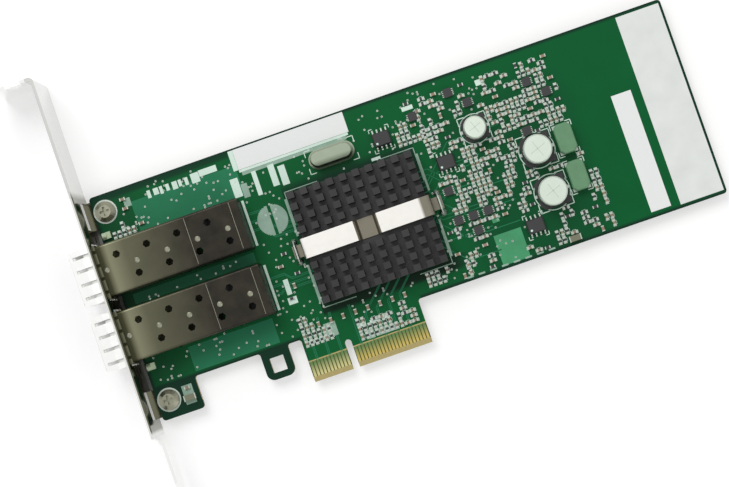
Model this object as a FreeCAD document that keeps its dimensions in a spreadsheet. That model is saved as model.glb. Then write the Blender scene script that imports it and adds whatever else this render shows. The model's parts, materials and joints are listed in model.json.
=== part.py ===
"""Dual-port pluggable-optics network card for a four-lane expansion slot, with a full-height bracket.

Frame, in millimetres: the origin is on the card edge, at the middle of the key notch, where the tongue
ends, on the component face of the board. +X runs along the board away from the bracket, +Y from the
card edge up to the board's top edge, and +Z out of the component face.
"""
import FreeCAD, Part
import math
import os
import re

import Sketcher
from FreeCAD import Placement, Rotation, Vector

# ---------------------------------------------------------------- driving dimensions
SIZES = {
    # board
    "board_length": 167.65, "board_height": 56.5, "board_thick": 1.57, "board_gap": 1.5,
    "board_corner": 1.0, "tongue_depth": 12.4, "key_to_left": 12.15, "key_to_right": 22.15,
    "key_width": 1.9, "key_depth": 8.25, "bevel_depth": 1.25, "bevel_drop": 0.45,
    "tongue_corner": 0.8, "foot_width": 12.2, "foot_depth": 9.0, "hook_width": 8.1,
    "hook_depth": 8.3, "hook_space": 4.0, "hook_hole_width": 4.0, "hook_hole_height": 4.2,
    "hook_rim": 1.9, "hook_corner": 2.2,
    # edge contacts
    "finger_pitch": 1.0, "finger_width": 0.7, "finger_length": 4.3, "finger_thick": 0.05,
    "finger_inset": 0.15, "finger_key_space": 1.5,
    # bracket
    "bracket_to_key": 57.15, "sheet_thick": 0.86, "bracket_width": 18.42, "bracket_below": 2.4,
    "bracket_height": 120.02, "tab_above_board": 35.2, "tab_reach": 11.43, "bend_inside": 0.6,
    "notch_width": 4.42, "notch_reach": 5.08, "notch_depth": 5.6, "tongue_width": 10.19,
    "tongue_length": 13.0, "tongue_taper": 2.4, "kink_step": 1.5, "kink_length": 3.0,
    "ear_width": 8.0, "ear_length": 8.6, "ear_hole": 1.5, "led_hole": 1.1,
    # bracket screws
    "screw_x": 4.9, "screw_inset": 5.0, "screw_foot_inset": 5.2, "screw_shank": 1.45,
    "screw_clearance": 0.15, "screw_head": 2.9, "screw_head_height": 1.7, "screw_past": 0.5,
    "screw_flat": 1.75, "screw_facets": 20, "recess_length": 2.7, "recess_width": 0.7,
    "recess_depth": 0.9,
    # cages
    "cage_width": 14.4, "cage_height": 9.7, "cage_length": 48.7, "cage_wall": 0.3,
    "cage_nose": 6.49, "cage_inset": 21.3, "cage_pitch": 18.9, "vent_radius": 1.1,
    "vent_first": 5.0, "vent_pitch": 8.8, "vent_row": 3.4, "leg_width": 0.9, "leg_length": 3.0,
    "leg_first": 1.3, "leg_pitch": 9.0, "leg_clearance": 0.1, "slot_pitch": 3.8, "slot_width": 0.9,
    "slot_length": 2.3, "slot_inset": 0.9, "latch_side": 3.2, "latch_inset": 4.5,
    "side_slot_length": 7.0, "side_slot_height": 1.3, "side_slot_pitch": 10.6,
    "cage_rear_open": 14.5,
    # spring collars
    "collar_thick": 0.2, "collar_inset": 0.2, "collar_band": 0.9, "collar_length": 7.6,
    "collar_bulge": 0.6, "collar_crest": 3.6, "collar_side_pitch": 3.0, "window_clearance": 0.12,
    # host connectors inside the cages
    "host_width": 11.9, "host_length": 9.2, "host_height": 5.4, "host_rear": 1.6,
    "host_slot_width": 9.8, "host_slot_height": 1.3, "host_slot_depth": 5.5, "host_slot_z": 2.6,
    "contact_pitch": 1.0, "contact_width": 0.35, "contact_length": 1.1, "contact_thick": 0.2,
    # controller, pad, heat sink
    "sink_x": 15.7, "sink_inset": 33.3, "ball_height": 0.45, "ball_radius": 0.35, "ball_pitch": 5.0,
    "chip_side": 27.0, "chip_base": 0.6, "chip_cap_side": 24.0, "chip_cap": 1.2, "pad_thick": 0.3,
    "pad_side": 22.0, "sink_length": 36.0, "sink_width": 32.0, "sink_base": 1.6,
    "pin_height": 4.2, "pin_length": 2.0, "pin_width": 1.9, "pin_pitch": 3.77, "pin_step": 3.3,
    "channel_width": 8.4,
    # spring clip and its anchors
    "clip_width": 5.6, "clip_thick": 0.5, "clip_below_top": 1.0, "clip_dip": 3.6,
    "clip_dip_flat": 2.5, "clip_overhang": 0.35, "clip_foot_z": 1.7, "clip_foot_length": 2.9,
    "clip_foot_width": 3.6, "anchor_wire": 0.45, "anchor_span": 5.6, "anchor_space": 0.25,
    "anchor_offset": 2.1, "anchor_past": 0.8, "anchor_clearance": 0.12, "anchor_bend": 1.0,
    # can capacitors
    "small_can": 6.3, "large_can": 8.0, "small_can_height": 5.8, "large_can_height": 6.7,
    "base_thick": 0.9, "base_margin": 0.3, "base_cut": 1.2, "can_lip": 0.35, "rolled_depth": 0.5,
    "rolled_height": 0.8, "lead_width": 0.9, "lead_thick": 0.25, "lead_out": 0.7, "lead_in": 1.5,
    "can_one_x": 52.4, "can_one_y": 51.8, "can_two_x": 66.6, "can_two_y": 40.5,
    "can_three_x": 66.8, "can_three_y": 28.3,
    # crystal
    "crystal_x": 12.6, "crystal_inset": 10.9, "crystal_length": 12.3, "crystal_width": 4.7,
    "crystal_height": 3.3, "crystal_rim": 0.45, "crystal_rim_thick": 0.5,
    # gull-wing chips
    "flash_x": 27.2, "flash_inset": 11.3, "memory_x": 41.9, "memory_y": 45.6,
    "driver_x": 59.5, "driver_y": 21.0,
    "so_length": 4.9, "so_width": 3.9, "so_height": 1.5, "so_stand": 0.12, "so_pitch": 1.27,
    "so_lead_width": 0.42, "so_lead_out": 1.05, "so_lead_thick": 0.2, "so_lead_z": 0.75,
    "so_lead_bend": 0.45,
    # power chokes and lights
    "choke_length": 8.4, "choke_width": 5.0, "choke_height": 2.9, "choke_cut": 1.1,
    "choke_x": 74.9, "choke_y": 41.0, "choke_pitch": 10.7,
    "choke_plate": 0.3, "led_length": 2.4, "led_width": 1.9,
    "led_height": 2.2, "led_lens": 0.8, "led_back": 0.5, "led_space": 2.6,
    # small chip parts
    "chip_cap_length": 1.6, "chip_cap_width": 0.85, "chip_cap_height": 0.8,
    "resistor_length": 1.55, "resistor_width": 0.8, "resistor_height": 0.45,
    "bulk_length": 3.4, "bulk_width": 1.7, "bulk_height": 1.7, "end_length": 0.3, "end_skin": 0.04,
    "field_left": 36.6, "field_right": 80.0, "field_bottom": 14.2, "field_inset": 3.5,
    "field_step_x": 8.0, "field_step_y": 6.3, "part_space": 0.35,
    "spare_x": 51.5, "spare_y": 19.1, "spare_length": 7.9, "spare_width": 11.8,
    "coupling_pitch": 3.6, "coupling_rise": 2.4, "coupling_inset": 3.0, "bypass_gap": 5.0,
    "bypass_drop": 11.6, "bypass_step_x": 1.9, "bypass_step_y": 3.1, "under_step": 4.3,
    # labels
    "label_thick": 0.12, "top_label_x": 3.0, "top_label_length": 32.4, "top_label_height": 5.8,
    "top_label_inset": 0.5, "end_label_width": 12.4, "end_label_inset": 0.7,
    "end_label_margin": 1.0, "side_label_width": 5.7, "side_label_height": 33.8,
    "side_label_space": 2.6, "side_label_rise": 0.6,
    # how far a cutting outline reaches past the piece
    "past": 1.0,
}

# places that follow from the sizes, as formulas in the same sheet
PLACES = {
    "board_top": "tongue_depth + board_height",
    "upper_cage_y": "board_top - cage_inset",
    "cage_rear": "bracket_to_key + sheet_thick + cage_nose - cage_length",
    "sink_y": "board_top - sink_inset",
    "crystal_y": "board_top - crystal_inset",
    "flash_y": "board_top - flash_inset",
    "field_top": "board_top - field_inset",
    "bypass_x": "bypass_gap - cage_rear",
    "bypass_y": "sink_y - bypass_drop",
}

doc = FreeCAD.newDocument("network_card")
sheet = doc.addObject("Spreadsheet::Sheet", "sizes")
cells = {**SIZES, **{alias: f"={formula}" for alias, formula in PLACES.items()}}
for row, (alias, content) in enumerate(cells.items(), 1):
    sheet.set(f"A{row}", alias.replace("_", " "))
    sheet.set(f"B{row}", str(content))
    sheet.setAlias(f"B{row}", alias)
doc.recompute()


def bound(text):
    """The expression with each size's name pointing at its cell."""
    return re.sub(r"[a-z][a-z_]*", lambda m: f"sizes.{m[0]}" if m[0] in cells else m[0], str(text))


def val(text):
    """The number that an expression in the sizes' names comes to."""
    return float(sheet.evalExpression(bound(text)))


# places that several pieces share, as expressions
BOARD_LEFT = "(board_gap - bracket_to_key)"
BOARD_RIGHT = f"({BOARD_LEFT} + board_length)"
BOARD_TOP = "board_top"
BOARD_BACK = "(-board_thick)"
FOOT_END = "(tongue_depth - foot_depth)"
HOOK_RIGHT = "(-key_to_left - hook_space)"
HOOK_LEFT = f"({HOOK_RIGHT} - hook_width)"
HOOK_END = "(tongue_depth - hook_depth)"
SCREW_X = "(screw_x - bracket_to_key)"
SCREW_TOP_Y = f"({BOARD_TOP} - screw_inset)"
SCREW_FOOT_Y = f"({FOOT_END} + screw_foot_inset)"
BRACKET_INNER = "(-bracket_to_key)"
BRACKET_OUTER = "(-bracket_to_key - sheet_thick)"
BRACKET_LOW = "(-board_thick - bracket_below)"
BRACKET_HIGH = f"({BRACKET_LOW} + bracket_width)"
BRACKET_MID = f"({BRACKET_LOW} + bracket_width / 2)"
TAB_TOP = f"({BOARD_TOP} + tab_above_board)"
BRACKET_TIP = f"({TAB_TOP} - bracket_height)"
SHOULDER = f"({BRACKET_TIP} + tongue_length)"
CAGE_FRONT = "(-cage_rear - cage_length)"
CAGE_Y = {"upper": "upper_cage_y", "lower": "(upper_cage_y - cage_pitch)"}
SINK_LEFT = "(sink_x - sink_length / 2)"
SINK_SEAT = "(ball_height + chip_base + chip_cap + pad_thick)"
SINK_FLOOR = f"({SINK_SEAT} + sink_base)"
SINK_TOP = f"({SINK_FLOOR} + pin_height)"
CLIP_WING = f"({SINK_TOP} - clip_below_top - clip_thick)"
ANCHOR_BAR = "(clip_foot_z + clip_thick + anchor_space + anchor_wire)"
ANCHOR_X = {side: f"(sink_x {sign} (sink_length / 2 + clip_overhang + clip_thick + anchor_offset))"
            for side, sign in (("left", "-"), ("right", "+"))}
LED_X = f"({BOARD_LEFT} + led_back)"
LED_Y = {"upper": "(upper_cage_y + cage_width / 2 + led_space)",
         "lower": "(upper_cage_y - cage_pitch - cage_width / 2 - led_space)"}
CANS = {"one": ("can_one_x", "can_one_y", "small"), "two": ("can_two_x", "can_two_y", "large"),
        "three": ("can_three_x", "can_three_y", "large")}
SO_CHIPS = {"flash": ("flash_x", "flash_y"), "memory": ("memory_x", "memory_y"),
            "driver": ("driver_x", "driver_y")}
# small parts beside the two bracket screws: kind, the screw, and the steps from it along x and y
SCREW_SIDE_PARTS = [("chip_cap", SCREW_TOP_Y, 5.65, 1.7), ("chip_cap", SCREW_TOP_Y, 5.65, -1.0),
                    ("chip_cap", SCREW_TOP_Y, 8.65, -6.3), ("chip_cap", SCREW_FOOT_Y, 5.85, 1.6),
                    ("bulk", SCREW_FOOT_Y, 5.85, -1.2)]
SUB_PARTS = []


# ---------------------------------------------------------------- helpers
def new_body(name):
    """A body that becomes one sub-part, named after it."""
    body = doc.addObject("PartDesign::Body", name)
    body.Label = name
    SUB_PARTS.append(body)
    return body


def new_sketch(body, role, offset="0"):
    """An empty sketch on one of the body's own planes, moved along that plane's normal."""
    sketch = body.newObject("Sketcher::SketchObject", f"{body.Name}_sketch")
    plane = [item for item in body.Origin.OriginFeatures if item.Role == role][0]
    sketch.AttachmentSupport = (plane, [""])
    sketch.MapMode = "FlatFace"
    sketch.setExpression("AttachmentOffset.Base.z", bound(offset))
    return sketch


def hold(sketch, item, point, x, y):
    """Ties a point of the sketch to its distances from the origin."""
    for kind, text in (("DistanceX", x), ("DistanceY", y)):
        number = sketch.addConstraint(Sketcher.Constraint(kind, -1, 1, item, point, val(text)))
        sketch.setExpression(f"Constraints[{number}]", bound(text))


def outline(sketch, points):
    """A closed outline of straight lines through points given as pairs of expressions."""
    places = [Vector(val(x), val(y), 0) for x, y in points]
    first = sketch.GeometryCount
    count = len(points)
    for i in range(count):
        sketch.addGeometry(Part.LineSegment(places[i], places[(i + 1) % count]), False)
    for i in range(count):
        sketch.addConstraint(Sketcher.Constraint("Coincident", first + i, 2, first + (i + 1) % count, 1))
    for i, (x, y) in enumerate(points):
        hold(sketch, first + i, 1, x, y)


def rectangle(sketch, x_low, x_high, y_low, y_high):
    outline(sketch, [(x_low, y_low), (x_high, y_low), (x_high, y_high), (x_low, y_high)])


def circle(sketch, x, y, radius):
    item = sketch.addGeometry(Part.Circle(Vector(val(x), val(y), 0), Vector(0, 0, 1), val(radius)), False)
    hold(sketch, item, 3, x, y)
    number = sketch.addConstraint(Sketcher.Constraint("Radius", item, val(radius)))
    sketch.setExpression(f"Constraints[{number}]", bound(radius))


def hexagon(sketch, x, y, radius):
    """A six-sided outline with its corners on the circle of that radius."""
    turns = [math.pi * i / 3 for i in range(6)]
    outline(sketch, [(f"({x} + {math.cos(turn):.6f} * {radius})", f"({y} + {math.sin(turn):.6f} * {radius})")
                     for turn in turns])


def feature(body, kind, sketch, length, reverse=False):
    """A Pad or Pocket of one sketch. Either one has to change the body's volume."""
    before = body.Shape.Volume if not body.Shape.isNull() else 0.0
    made = body.newObject(f"PartDesign::{kind}", f"{body.Name}_{kind.lower()}")
    made.Profile = sketch
    made.Reversed = reverse
    made.setExpression("Length", bound(length))
    doc.recompute()
    after = body.Shape.Volume
    if abs(after - before) < 1e-6 or (kind == "Pocket") == (after > before):
        raise ValueError(f"{made.Name} changed the volume from {before:.4f} to {after:.4f}")
    return made


def pad(body, sketch, length, reverse=False):
    return feature(body, "Pad", sketch, length, reverse)


def pocket(body, sketch, length, reverse=False):
    return feature(body, "Pocket", sketch, length, reverse)


def round_edges(body, radius, wanted, kind="Fillet"):
    """Fillets or chamfers the edges whose ends the test accepts."""
    names = []
    for number, edge in enumerate(body.Shape.Edges, 1):
        ends = [vertex.Point for vertex in edge.Vertexes]
        if len(ends) == 2 and wanted(ends[0], ends[1]):
            names.append(f"Edge{number}")
    if not names:
        raise ValueError(f"{body.Name} has no edge to round")
    base = body.Tip
    made = body.newObject(f"PartDesign::{kind}", f"{body.Name}_{kind.lower()}")
    made.Base = (base, names)
    made.setExpression("Radius" if kind == "Fillet" else "Size", bound(radius))
    doc.recompute()
    if not made.isValid():
        raise ValueError(f"{made.Name} did not compute")
    return made


def near(number, text):
    return abs(number - val(text)) < 1e-4


def upright_at(*places):
    """Accepts an edge along Z that stands at one of the places, given as pairs of expressions."""
    def wanted(a, b):
        along = abs(a.x - b.x) < 1e-6 and abs(a.y - b.y) < 1e-6
        return along and any(near(a.x, x) and near(a.y, y) for x, y in places)
    return wanted


def block(name, x_low, y_low, z_low, length, width, height):
    """A Part::Box whose three sizes and three places follow expressions."""
    box = doc.addObject("Part::Box", name)
    box.Label = name
    for prop, text in (("Length", length), ("Width", width), ("Height", height),
                       ("Placement.Base.x", x_low), ("Placement.Base.y", y_low),
                       ("Placement.Base.z", z_low)):
        box.setExpression(prop, bound(text))
    SUB_PARTS.append(box)
    return box


def group(name, shapes):
    """Like pieces that share one node, each a solid of its own."""
    piece = doc.addObject("Part::Feature", name)
    piece.Label = name
    piece.Shape = Part.makeCompound(shapes)
    SUB_PARTS.append(piece)
    return piece


def box_at(x, y, z, length, width, height):
    """A plain box centred on x and y that stands at height z, in numbers."""
    return Part.makeBox(length, width, height, Vector(x - length / 2, y - width / 2, z))


def rim(x, y, z, radius, sides):
    """The points of a level outline with equal sides, centred on x and y, the first one again at the end."""
    turns = [2 * math.pi * (i + 0.5) / sides for i in range(sides + 1)]
    return [Vector(x + radius * math.cos(turn), y + radius * math.sin(turn), z) for turn in turns]


def prism(x, y, z, radius, height, sides):
    """An upright prism with equal sides, centred on x and y."""
    return Part.Face(Part.makePolygon(rim(x, y, z, radius, sides))).extrude(Vector(0, 0, height))


def stacked_rims(levels, sides):
    """A solid with flat sides between level rims on the Z axis, each given as its height and radius."""
    rims = [rim(0, 0, z, radius, sides) for z, radius in levels]
    faces = [Part.Face(Part.makePolygon(rims[0])), Part.Face(Part.makePolygon(rims[-1]))]
    for low, high in zip(rims, rims[1:]):
        for i in range(sides):
            corners = [low[i], low[i + 1], high[i + 1], high[i], low[i]]
            faces.append(Part.Face(Part.makePolygon(corners)))
    return Part.Solid(Part.Shell(faces)).removeSplitter()


# ---------------------------------------------------------------- board
def cage_leg_places(side):
    """Where a cage's legs stand, along both of its side walls, as pairs of expressions."""
    places = []
    for step in range(4):
        x = f"(-cage_rear - leg_first - {step} * leg_pitch)"
        for sign in ("-", "+"):
            y = f"({CAGE_Y[side]} {sign} (cage_width - cage_wall) / 2)"
            places.append((x, y))
    return places


def make_board():
    body = new_body("circuit_board")
    sketch = new_sketch(body, "XY_Plane")
    foot_right = f"({BOARD_LEFT} + foot_width)"
    outline(sketch, [
        (BOARD_LEFT, FOOT_END), (foot_right, FOOT_END), (foot_right, "tongue_depth"),
        (HOOK_LEFT, "tongue_depth"), (HOOK_LEFT, HOOK_END), (HOOK_RIGHT, HOOK_END),
        (HOOK_RIGHT, "tongue_depth"), ("-key_to_left", "tongue_depth"), ("-key_to_left", "0"),
        ("key_to_right", "0"), ("key_to_right", "tongue_depth"), (BOARD_RIGHT, "tongue_depth"),
        (BOARD_RIGHT, BOARD_TOP), (BOARD_LEFT, BOARD_TOP)])
    pad(body, sketch, "board_thick", reverse=True)

    # outer corners, the rounded hook and the relieved corners beside the tongue
    corners = [(BOARD_LEFT, FOOT_END), (foot_right, FOOT_END), (BOARD_RIGHT, "tongue_depth"),
               (BOARD_RIGHT, BOARD_TOP), (BOARD_LEFT, BOARD_TOP)]
    round_edges(body, "board_corner", upright_at(*corners))
    round_edges(body, "hook_corner", upright_at((HOOK_LEFT, HOOK_END), (HOOK_RIGHT, HOOK_END)))
    inner = [(foot_right, "tongue_depth"), (HOOK_LEFT, "tongue_depth"), (HOOK_RIGHT, "tongue_depth"),
             ("-key_to_left", "tongue_depth"), ("key_to_right", "tongue_depth")]
    round_edges(body, "tongue_corner", upright_at(*inner))

    # key notch with its round end
    sketch = new_sketch(body, "XY_Plane")
    rectangle(sketch, "-key_width / 2", "key_width / 2", "-past", "key_depth - key_width / 2")
    pocket(body, sketch, "board_thick")
    sketch = new_sketch(body, "XY_Plane")
    circle(sketch, "0", "key_depth - key_width / 2", "key_width / 2")
    pocket(body, sketch, "board_thick")

    # bevels that lead the tongue into its slot, one on each face
    for face, tip in (("0", "-bevel_drop"), (BOARD_BACK, f"({BOARD_BACK} + bevel_drop)")):
        sketch = new_sketch(body, "YZ_Plane", "-key_to_left - past")
        outline(sketch, [("0", face), ("bevel_depth", face), ("0", tip)])
        pocket(body, sketch, "key_to_left + key_to_right + 2 * past", reverse=True)

    # hook hole
    sketch = new_sketch(body, "XY_Plane")
    hole_left = f"({HOOK_LEFT} + (hook_width - hook_hole_width) / 2)"
    hole_low = f"({HOOK_END} + hook_rim)"
    hole_right = f"({hole_left} + hook_hole_width)"
    hole_high = f"({hole_low} + hook_hole_height)"
    rectangle(sketch, hole_left, hole_right, hole_low, hole_high)
    pocket(body, sketch, "board_thick")

    # holes: screws, clip anchors and, as short slots, the cages' legs
    sketch = new_sketch(body, "XY_Plane")
    for y in (SCREW_TOP_Y, SCREW_FOOT_Y):
        circle(sketch, SCREW_X, y, "screw_shank + screw_clearance")
    for side in CAGE_Y:
        for x, y in cage_leg_places(side):
            rectangle(sketch, f"({x} - leg_width / 2 - leg_clearance)",
                      f"({x} + leg_width / 2 + leg_clearance)",
                      f"({y} - cage_wall / 2 - leg_clearance)", f"({y} + cage_wall / 2 + leg_clearance)")
    for x in ANCHOR_X.values():
        for sign in ("-", "+"):
            hexagon(sketch, x, f"(sink_y {sign} anchor_span / 2)", "(anchor_wire + anchor_clearance)")
    pocket(body, sketch, "board_thick")


def make_edge_contacts():
    """Gold contacts on both faces: eleven left of the key and twenty-one right of it."""
    pitch = val("finger_pitch")
    first = val("finger_key_space")
    left = int((val("key_to_left") - first - val("finger_width") / 2) // pitch) + 1
    right = int((val("key_to_right") - first - val("finger_width") / 2) // pitch) + 1
    places = [-first - i * pitch for i in range(left)] + [first + i * pitch for i in range(right)]
    low = val("bevel_depth + finger_inset")
    length = val("finger_length")
    thick = val("finger_thick")
    for name, z in (("edge_contacts_front", 0.0), ("edge_contacts_back", val(BOARD_BACK) - thick)):
        group(name, [box_at(x, low + length / 2, z, val("finger_width"), length, thick) for x in places])


# ---------------------------------------------------------------- bracket and its screws
def make_bracket():
    body = new_body("mounting_bracket")
    kink_top = f"({SHOULDER} + kink_length)"
    sketch = new_sketch(body, "XY_Plane", BRACKET_LOW)
    tab_end = f"({BRACKET_OUTER} - tab_reach)"
    tab_under = f"({TAB_TOP} - sheet_thick)"
    outline(sketch, [
        (tab_end, TAB_TOP), (tab_end, tab_under), (BRACKET_OUTER, tab_under),
        (BRACKET_OUTER, kink_top), (f"({BRACKET_OUTER} + kink_step)", SHOULDER),
        (f"({BRACKET_OUTER} + kink_step)", BRACKET_TIP), (f"({BRACKET_INNER} + kink_step)", BRACKET_TIP),
        (f"({BRACKET_INNER} + kink_step)", SHOULDER), (BRACKET_INNER, kink_top),
        (BRACKET_INNER, TAB_TOP)])
    pad(body, sketch, "bracket_width")
    round_edges(body, "bend_inside", upright_at((BRACKET_OUTER, tab_under)))
    round_edges(body, "bend_inside + sheet_thick", upright_at((BRACKET_INNER, TAB_TOP)))

    # the sheet narrows to the tongue, whose end tapers
    step = "(bracket_width - tongue_width) / 2"
    for edge, sign in ((BRACKET_LOW, "+"), (BRACKET_HIGH, "-")):
        outside = f"({edge} {'-' if sign == '+' else '+'} past)"
        side = f"({edge} {sign} {step})"
        sketch = new_sketch(body, "YZ_Plane", f"{BRACKET_OUTER} - past")
        outline(sketch, [
            (f"({BRACKET_TIP} - past)", outside), (f"({SHOULDER} + kink_length)", outside),
            (f"({SHOULDER} + kink_length / 2)", side), (f"({BRACKET_TIP} + tongue_taper)", side),
            (BRACKET_TIP, f"({side} {sign} tongue_taper)"),
            (f"({BRACKET_TIP} - past)", f"({side} {sign} tongue_taper)")])
        pocket(body, sketch, "sheet_thick + kink_step + 2 * past", reverse=True)

    # screw notch, open towards the component side
    sketch = new_sketch(body, "XZ_Plane", f"-{TAB_TOP} - past")
    notch_x = f"({BRACKET_OUTER} - notch_reach)"
    bottom = f"({BRACKET_HIGH} - notch_depth + notch_width / 2)"
    rectangle(sketch, f"({notch_x} - notch_width / 2)", f"({notch_x} + notch_width / 2)",
              bottom, f"({BRACKET_HIGH} + past)")
    pocket(body, sketch, "sheet_thick + 2 * past", reverse=True)
    sketch = new_sketch(body, "XZ_Plane", f"-{TAB_TOP} - past")
    circle(sketch, notch_x, bottom, "notch_width / 2")
    pocket(body, sketch, "sheet_thick + 2 * past", reverse=True)

    # windows for the two cages with their collars, and holes for the lights
    sketch = new_sketch(body, "YZ_Plane", f"{BRACKET_OUTER} - past")
    swell = "(collar_bulge + collar_thick + window_clearance)"
    for y in CAGE_Y.values():
        rectangle(sketch, f"({y} - cage_width / 2 - {swell})", f"({y} + cage_width / 2 + {swell})",
                  f"(-{swell})", f"(cage_height + {swell})")
    for y in LED_Y.values():
        circle(sketch, y, "led_height / 2", "led_hole")
    pocket(body, sketch, "sheet_thick + 2 * past", reverse=True)

    # ears folded out of the sheet under the board, each leaving its window
    for y in (SCREW_TOP_Y, SCREW_FOOT_Y):
        sketch = new_sketch(body, "YZ_Plane", f"{BRACKET_OUTER} - past")
        rectangle(sketch, f"({y} - ear_width / 2)", f"({y} + ear_width / 2)",
                  BOARD_BACK, f"({BOARD_BACK} + ear_length)")
        pocket(body, sketch, "sheet_thick + 2 * past", reverse=True)
        sketch = new_sketch(body, "XY_Plane", f"{BOARD_BACK} - sheet_thick")
        rectangle(sketch, BRACKET_OUTER, f"({BRACKET_INNER} + ear_length)",
                  f"({y} - ear_width / 2)", f"({y} + ear_width / 2)")
        pad(body, sketch, "sheet_thick")
        tip = f"({BRACKET_INNER} + ear_length)"
        round_edges(body, "ear_width / 4", upright_at((tip, f"({y} - ear_width / 2)"),
                                                     (tip, f"({y} + ear_width / 2)")))
        sketch = new_sketch(body, "XY_Plane", BOARD_BACK)
        circle(sketch, SCREW_X, y, "ear_hole")
        pocket(body, sketch, "sheet_thick")


def make_bracket_screws():
    """Two domed cross-recess screws through the board into the bracket's ears."""
    height = val("screw_head_height")
    tip = val(f"{BOARD_BACK} - sheet_thick - screw_past")
    head = val("screw_head")
    shank = val("screw_shank")
    levels = [(tip, shank), (0, shank), (0, head), (height / 2, head), (height, val("screw_flat"))]
    solid = stacked_rims(levels, int(val("screw_facets")))
    depth = val("recess_depth")
    for length, width in (("recess_length", "recess_width"), ("recess_width", "recess_length")):
        solid = solid.cut(box_at(0, 0, height - depth, val(length), val(width), depth + val("past")))
    screws = []
    for y in (SCREW_TOP_Y, SCREW_FOOT_Y):
        copy = solid.copy()
        copy.translate(Vector(val(SCREW_X), val(y), 0))
        screws.append(copy)
    group("bracket_screws", screws)


# ---------------------------------------------------------------- cages, collars, host connectors
def make_cage(side):
    """One folded sheet cage: open mouth, rear wall, vents, latch window, legs into the board."""
    body = new_body(f"{side}_port_cage")
    y = CAGE_Y[side]
    half = "cage_width / 2"
    sketch = new_sketch(body, "YZ_Plane", CAGE_FRONT)
    rectangle(sketch, f"({y} - {half})", f"({y} + {half})", "0", "cage_height")
    pad(body, sketch, "cage_length")
    along = [f"({y} - {half})", f"({y} + {half})"]

    def long_edge(a, b):
        lies = abs(a.y - b.y) < 1e-6 and abs(a.z - b.z) < 1e-6
        return lies and any(near(a.y, text) for text in along) and near(a.z, "cage_height")
    round_edges(body, "2 * cage_wall", long_edge)

    sketch = new_sketch(body, "YZ_Plane", f"{CAGE_FRONT} - past")
    rectangle(sketch, f"({y} - {half} + cage_wall)", f"({y} + {half} - cage_wall)",
              "cage_wall", "cage_height - cage_wall")
    pocket(body, sketch, "cage_length - cage_wall + past", reverse=True)

    # open floor behind, for the host connector, and a three-cornered latch window near the mouth
    sketch = new_sketch(body, "XY_Plane", "cage_wall + past")
    rectangle(sketch, "(-cage_rear - cage_wall - cage_rear_open)", "(-cage_rear - cage_wall)",
              f"({y} - {half} + cage_wall)", f"({y} + {half} - cage_wall)")
    latch = f"({CAGE_FRONT} + latch_inset)"
    outline(sketch, [(latch, f"({y} - latch_side / 2)"), (f"({latch} + latch_side)", y),
                     (latch, f"({y} + latch_side / 2)")])
    pocket(body, sketch, "cage_wall + 2 * past")

    # vents in the roof in two staggered rows, and a row of short slots by the mouth
    sketch = new_sketch(body, "XY_Plane", "cage_height + past")
    for line, shift in (("-", "0"), ("+", "0.5")):
        for step in range(4):
            hexagon(sketch, f"(-cage_rear - vent_first - vent_pitch * ({step} + {shift}))",
                    f"({y} {line} vent_row)", "vent_radius")
    for step in range(4):
        middle = f"({y} + ({step} - 1.5) * slot_pitch)"
        rectangle(sketch, f"({CAGE_FRONT} + slot_inset + collar_band)",
                  f"({CAGE_FRONT} + slot_inset + collar_band + slot_length)",
                  f"({middle} - slot_width / 2)", f"({middle} + slot_width / 2)")
    pocket(body, sketch, "cage_wall + 2 * past")

    # grounding slots through both side walls
    sketch = new_sketch(body, "XZ_Plane", f"-({y} + {half}) - past")
    for step in (1, 2, 3):
        rear = f"(-cage_rear - {step} * side_slot_pitch)"
        rectangle(sketch, f"({rear} - side_slot_length / 2)", f"({rear} + side_slot_length / 2)",
                  "(cage_height - side_slot_height) / 2", "(cage_height + side_slot_height) / 2")
    pocket(body, sketch, "cage_width + 2 * past", reverse=True)

    # legs in line with the side walls
    sketch = new_sketch(body, "XY_Plane", "cage_wall")
    for x, place in cage_leg_places(side):
        rectangle(sketch, f"({x} - leg_width / 2)", f"({x} + leg_width / 2)",
                  f"({place} - cage_wall / 2)", f"({place} + cage_wall / 2)")
    pad(body, sketch, "cage_wall + leg_length", reverse=True)


def make_collar(side):
    """Spring collar round the cage mouth: a band, then fingers that swell out and come back."""
    body = new_body(f"{side}_spring_collar")
    y = CAGE_Y[side]
    front = f"({CAGE_FRONT} + collar_inset)"
    stations = [("0", "0"), ("collar_crest", "collar_bulge"), ("collar_length", "(collar_bulge / 4)")]

    def ring(along, swell, skin):
        sketch = new_sketch(body, "YZ_Plane", f"({front} + {along})")
        rectangle(sketch, f"({y} - cage_width / 2 - {swell} - {skin})",
                  f"({y} + cage_width / 2 + {swell} + {skin})",
                  f"(-{swell} - {skin})", f"(cage_height + {swell} + {skin})")
        return sketch
    for kind, skin in (("AdditiveLoft", "collar_thick"), ("SubtractiveLoft", "0")):
        rings = [ring(along, swell, skin) for along, swell in stations]
        loft = body.newObject(f"PartDesign::{kind}", f"{body.Name}_{kind.lower()}")
        loft.Profile = rings[0]
        loft.Sections = rings[1:]
        loft.Ruled = True
        doc.recompute()

    # slots that part the fingers, across the roof and floor and through both sides
    slot_start = f"({front} + collar_band)"
    slot_end = f"({front} + collar_length + past)"
    reach = "(collar_bulge + collar_thick + past)"
    sketch = new_sketch(body, "XY_Plane", f"cage_height + {reach}")
    for step in range(4):
        middle = f"({y} + ({step} - 1.5) * slot_pitch)"
        rectangle(sketch, slot_start, slot_end, f"({middle} - slot_width / 2)",
                  f"({middle} + slot_width / 2)")
    pocket(body, sketch, f"cage_height + 2 * {reach}")
    sketch = new_sketch(body, "XZ_Plane", f"-({y} + cage_width / 2) - {reach}")
    for sign in "-+":
        middle = f"(cage_height / 2 {sign} collar_side_pitch / 2)"
        rectangle(sketch, slot_start, slot_end, f"({middle} - slot_width / 2)",
                  f"({middle} + slot_width / 2)")
    pocket(body, sketch, f"cage_width + 2 * {reach}", reverse=True)


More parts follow.
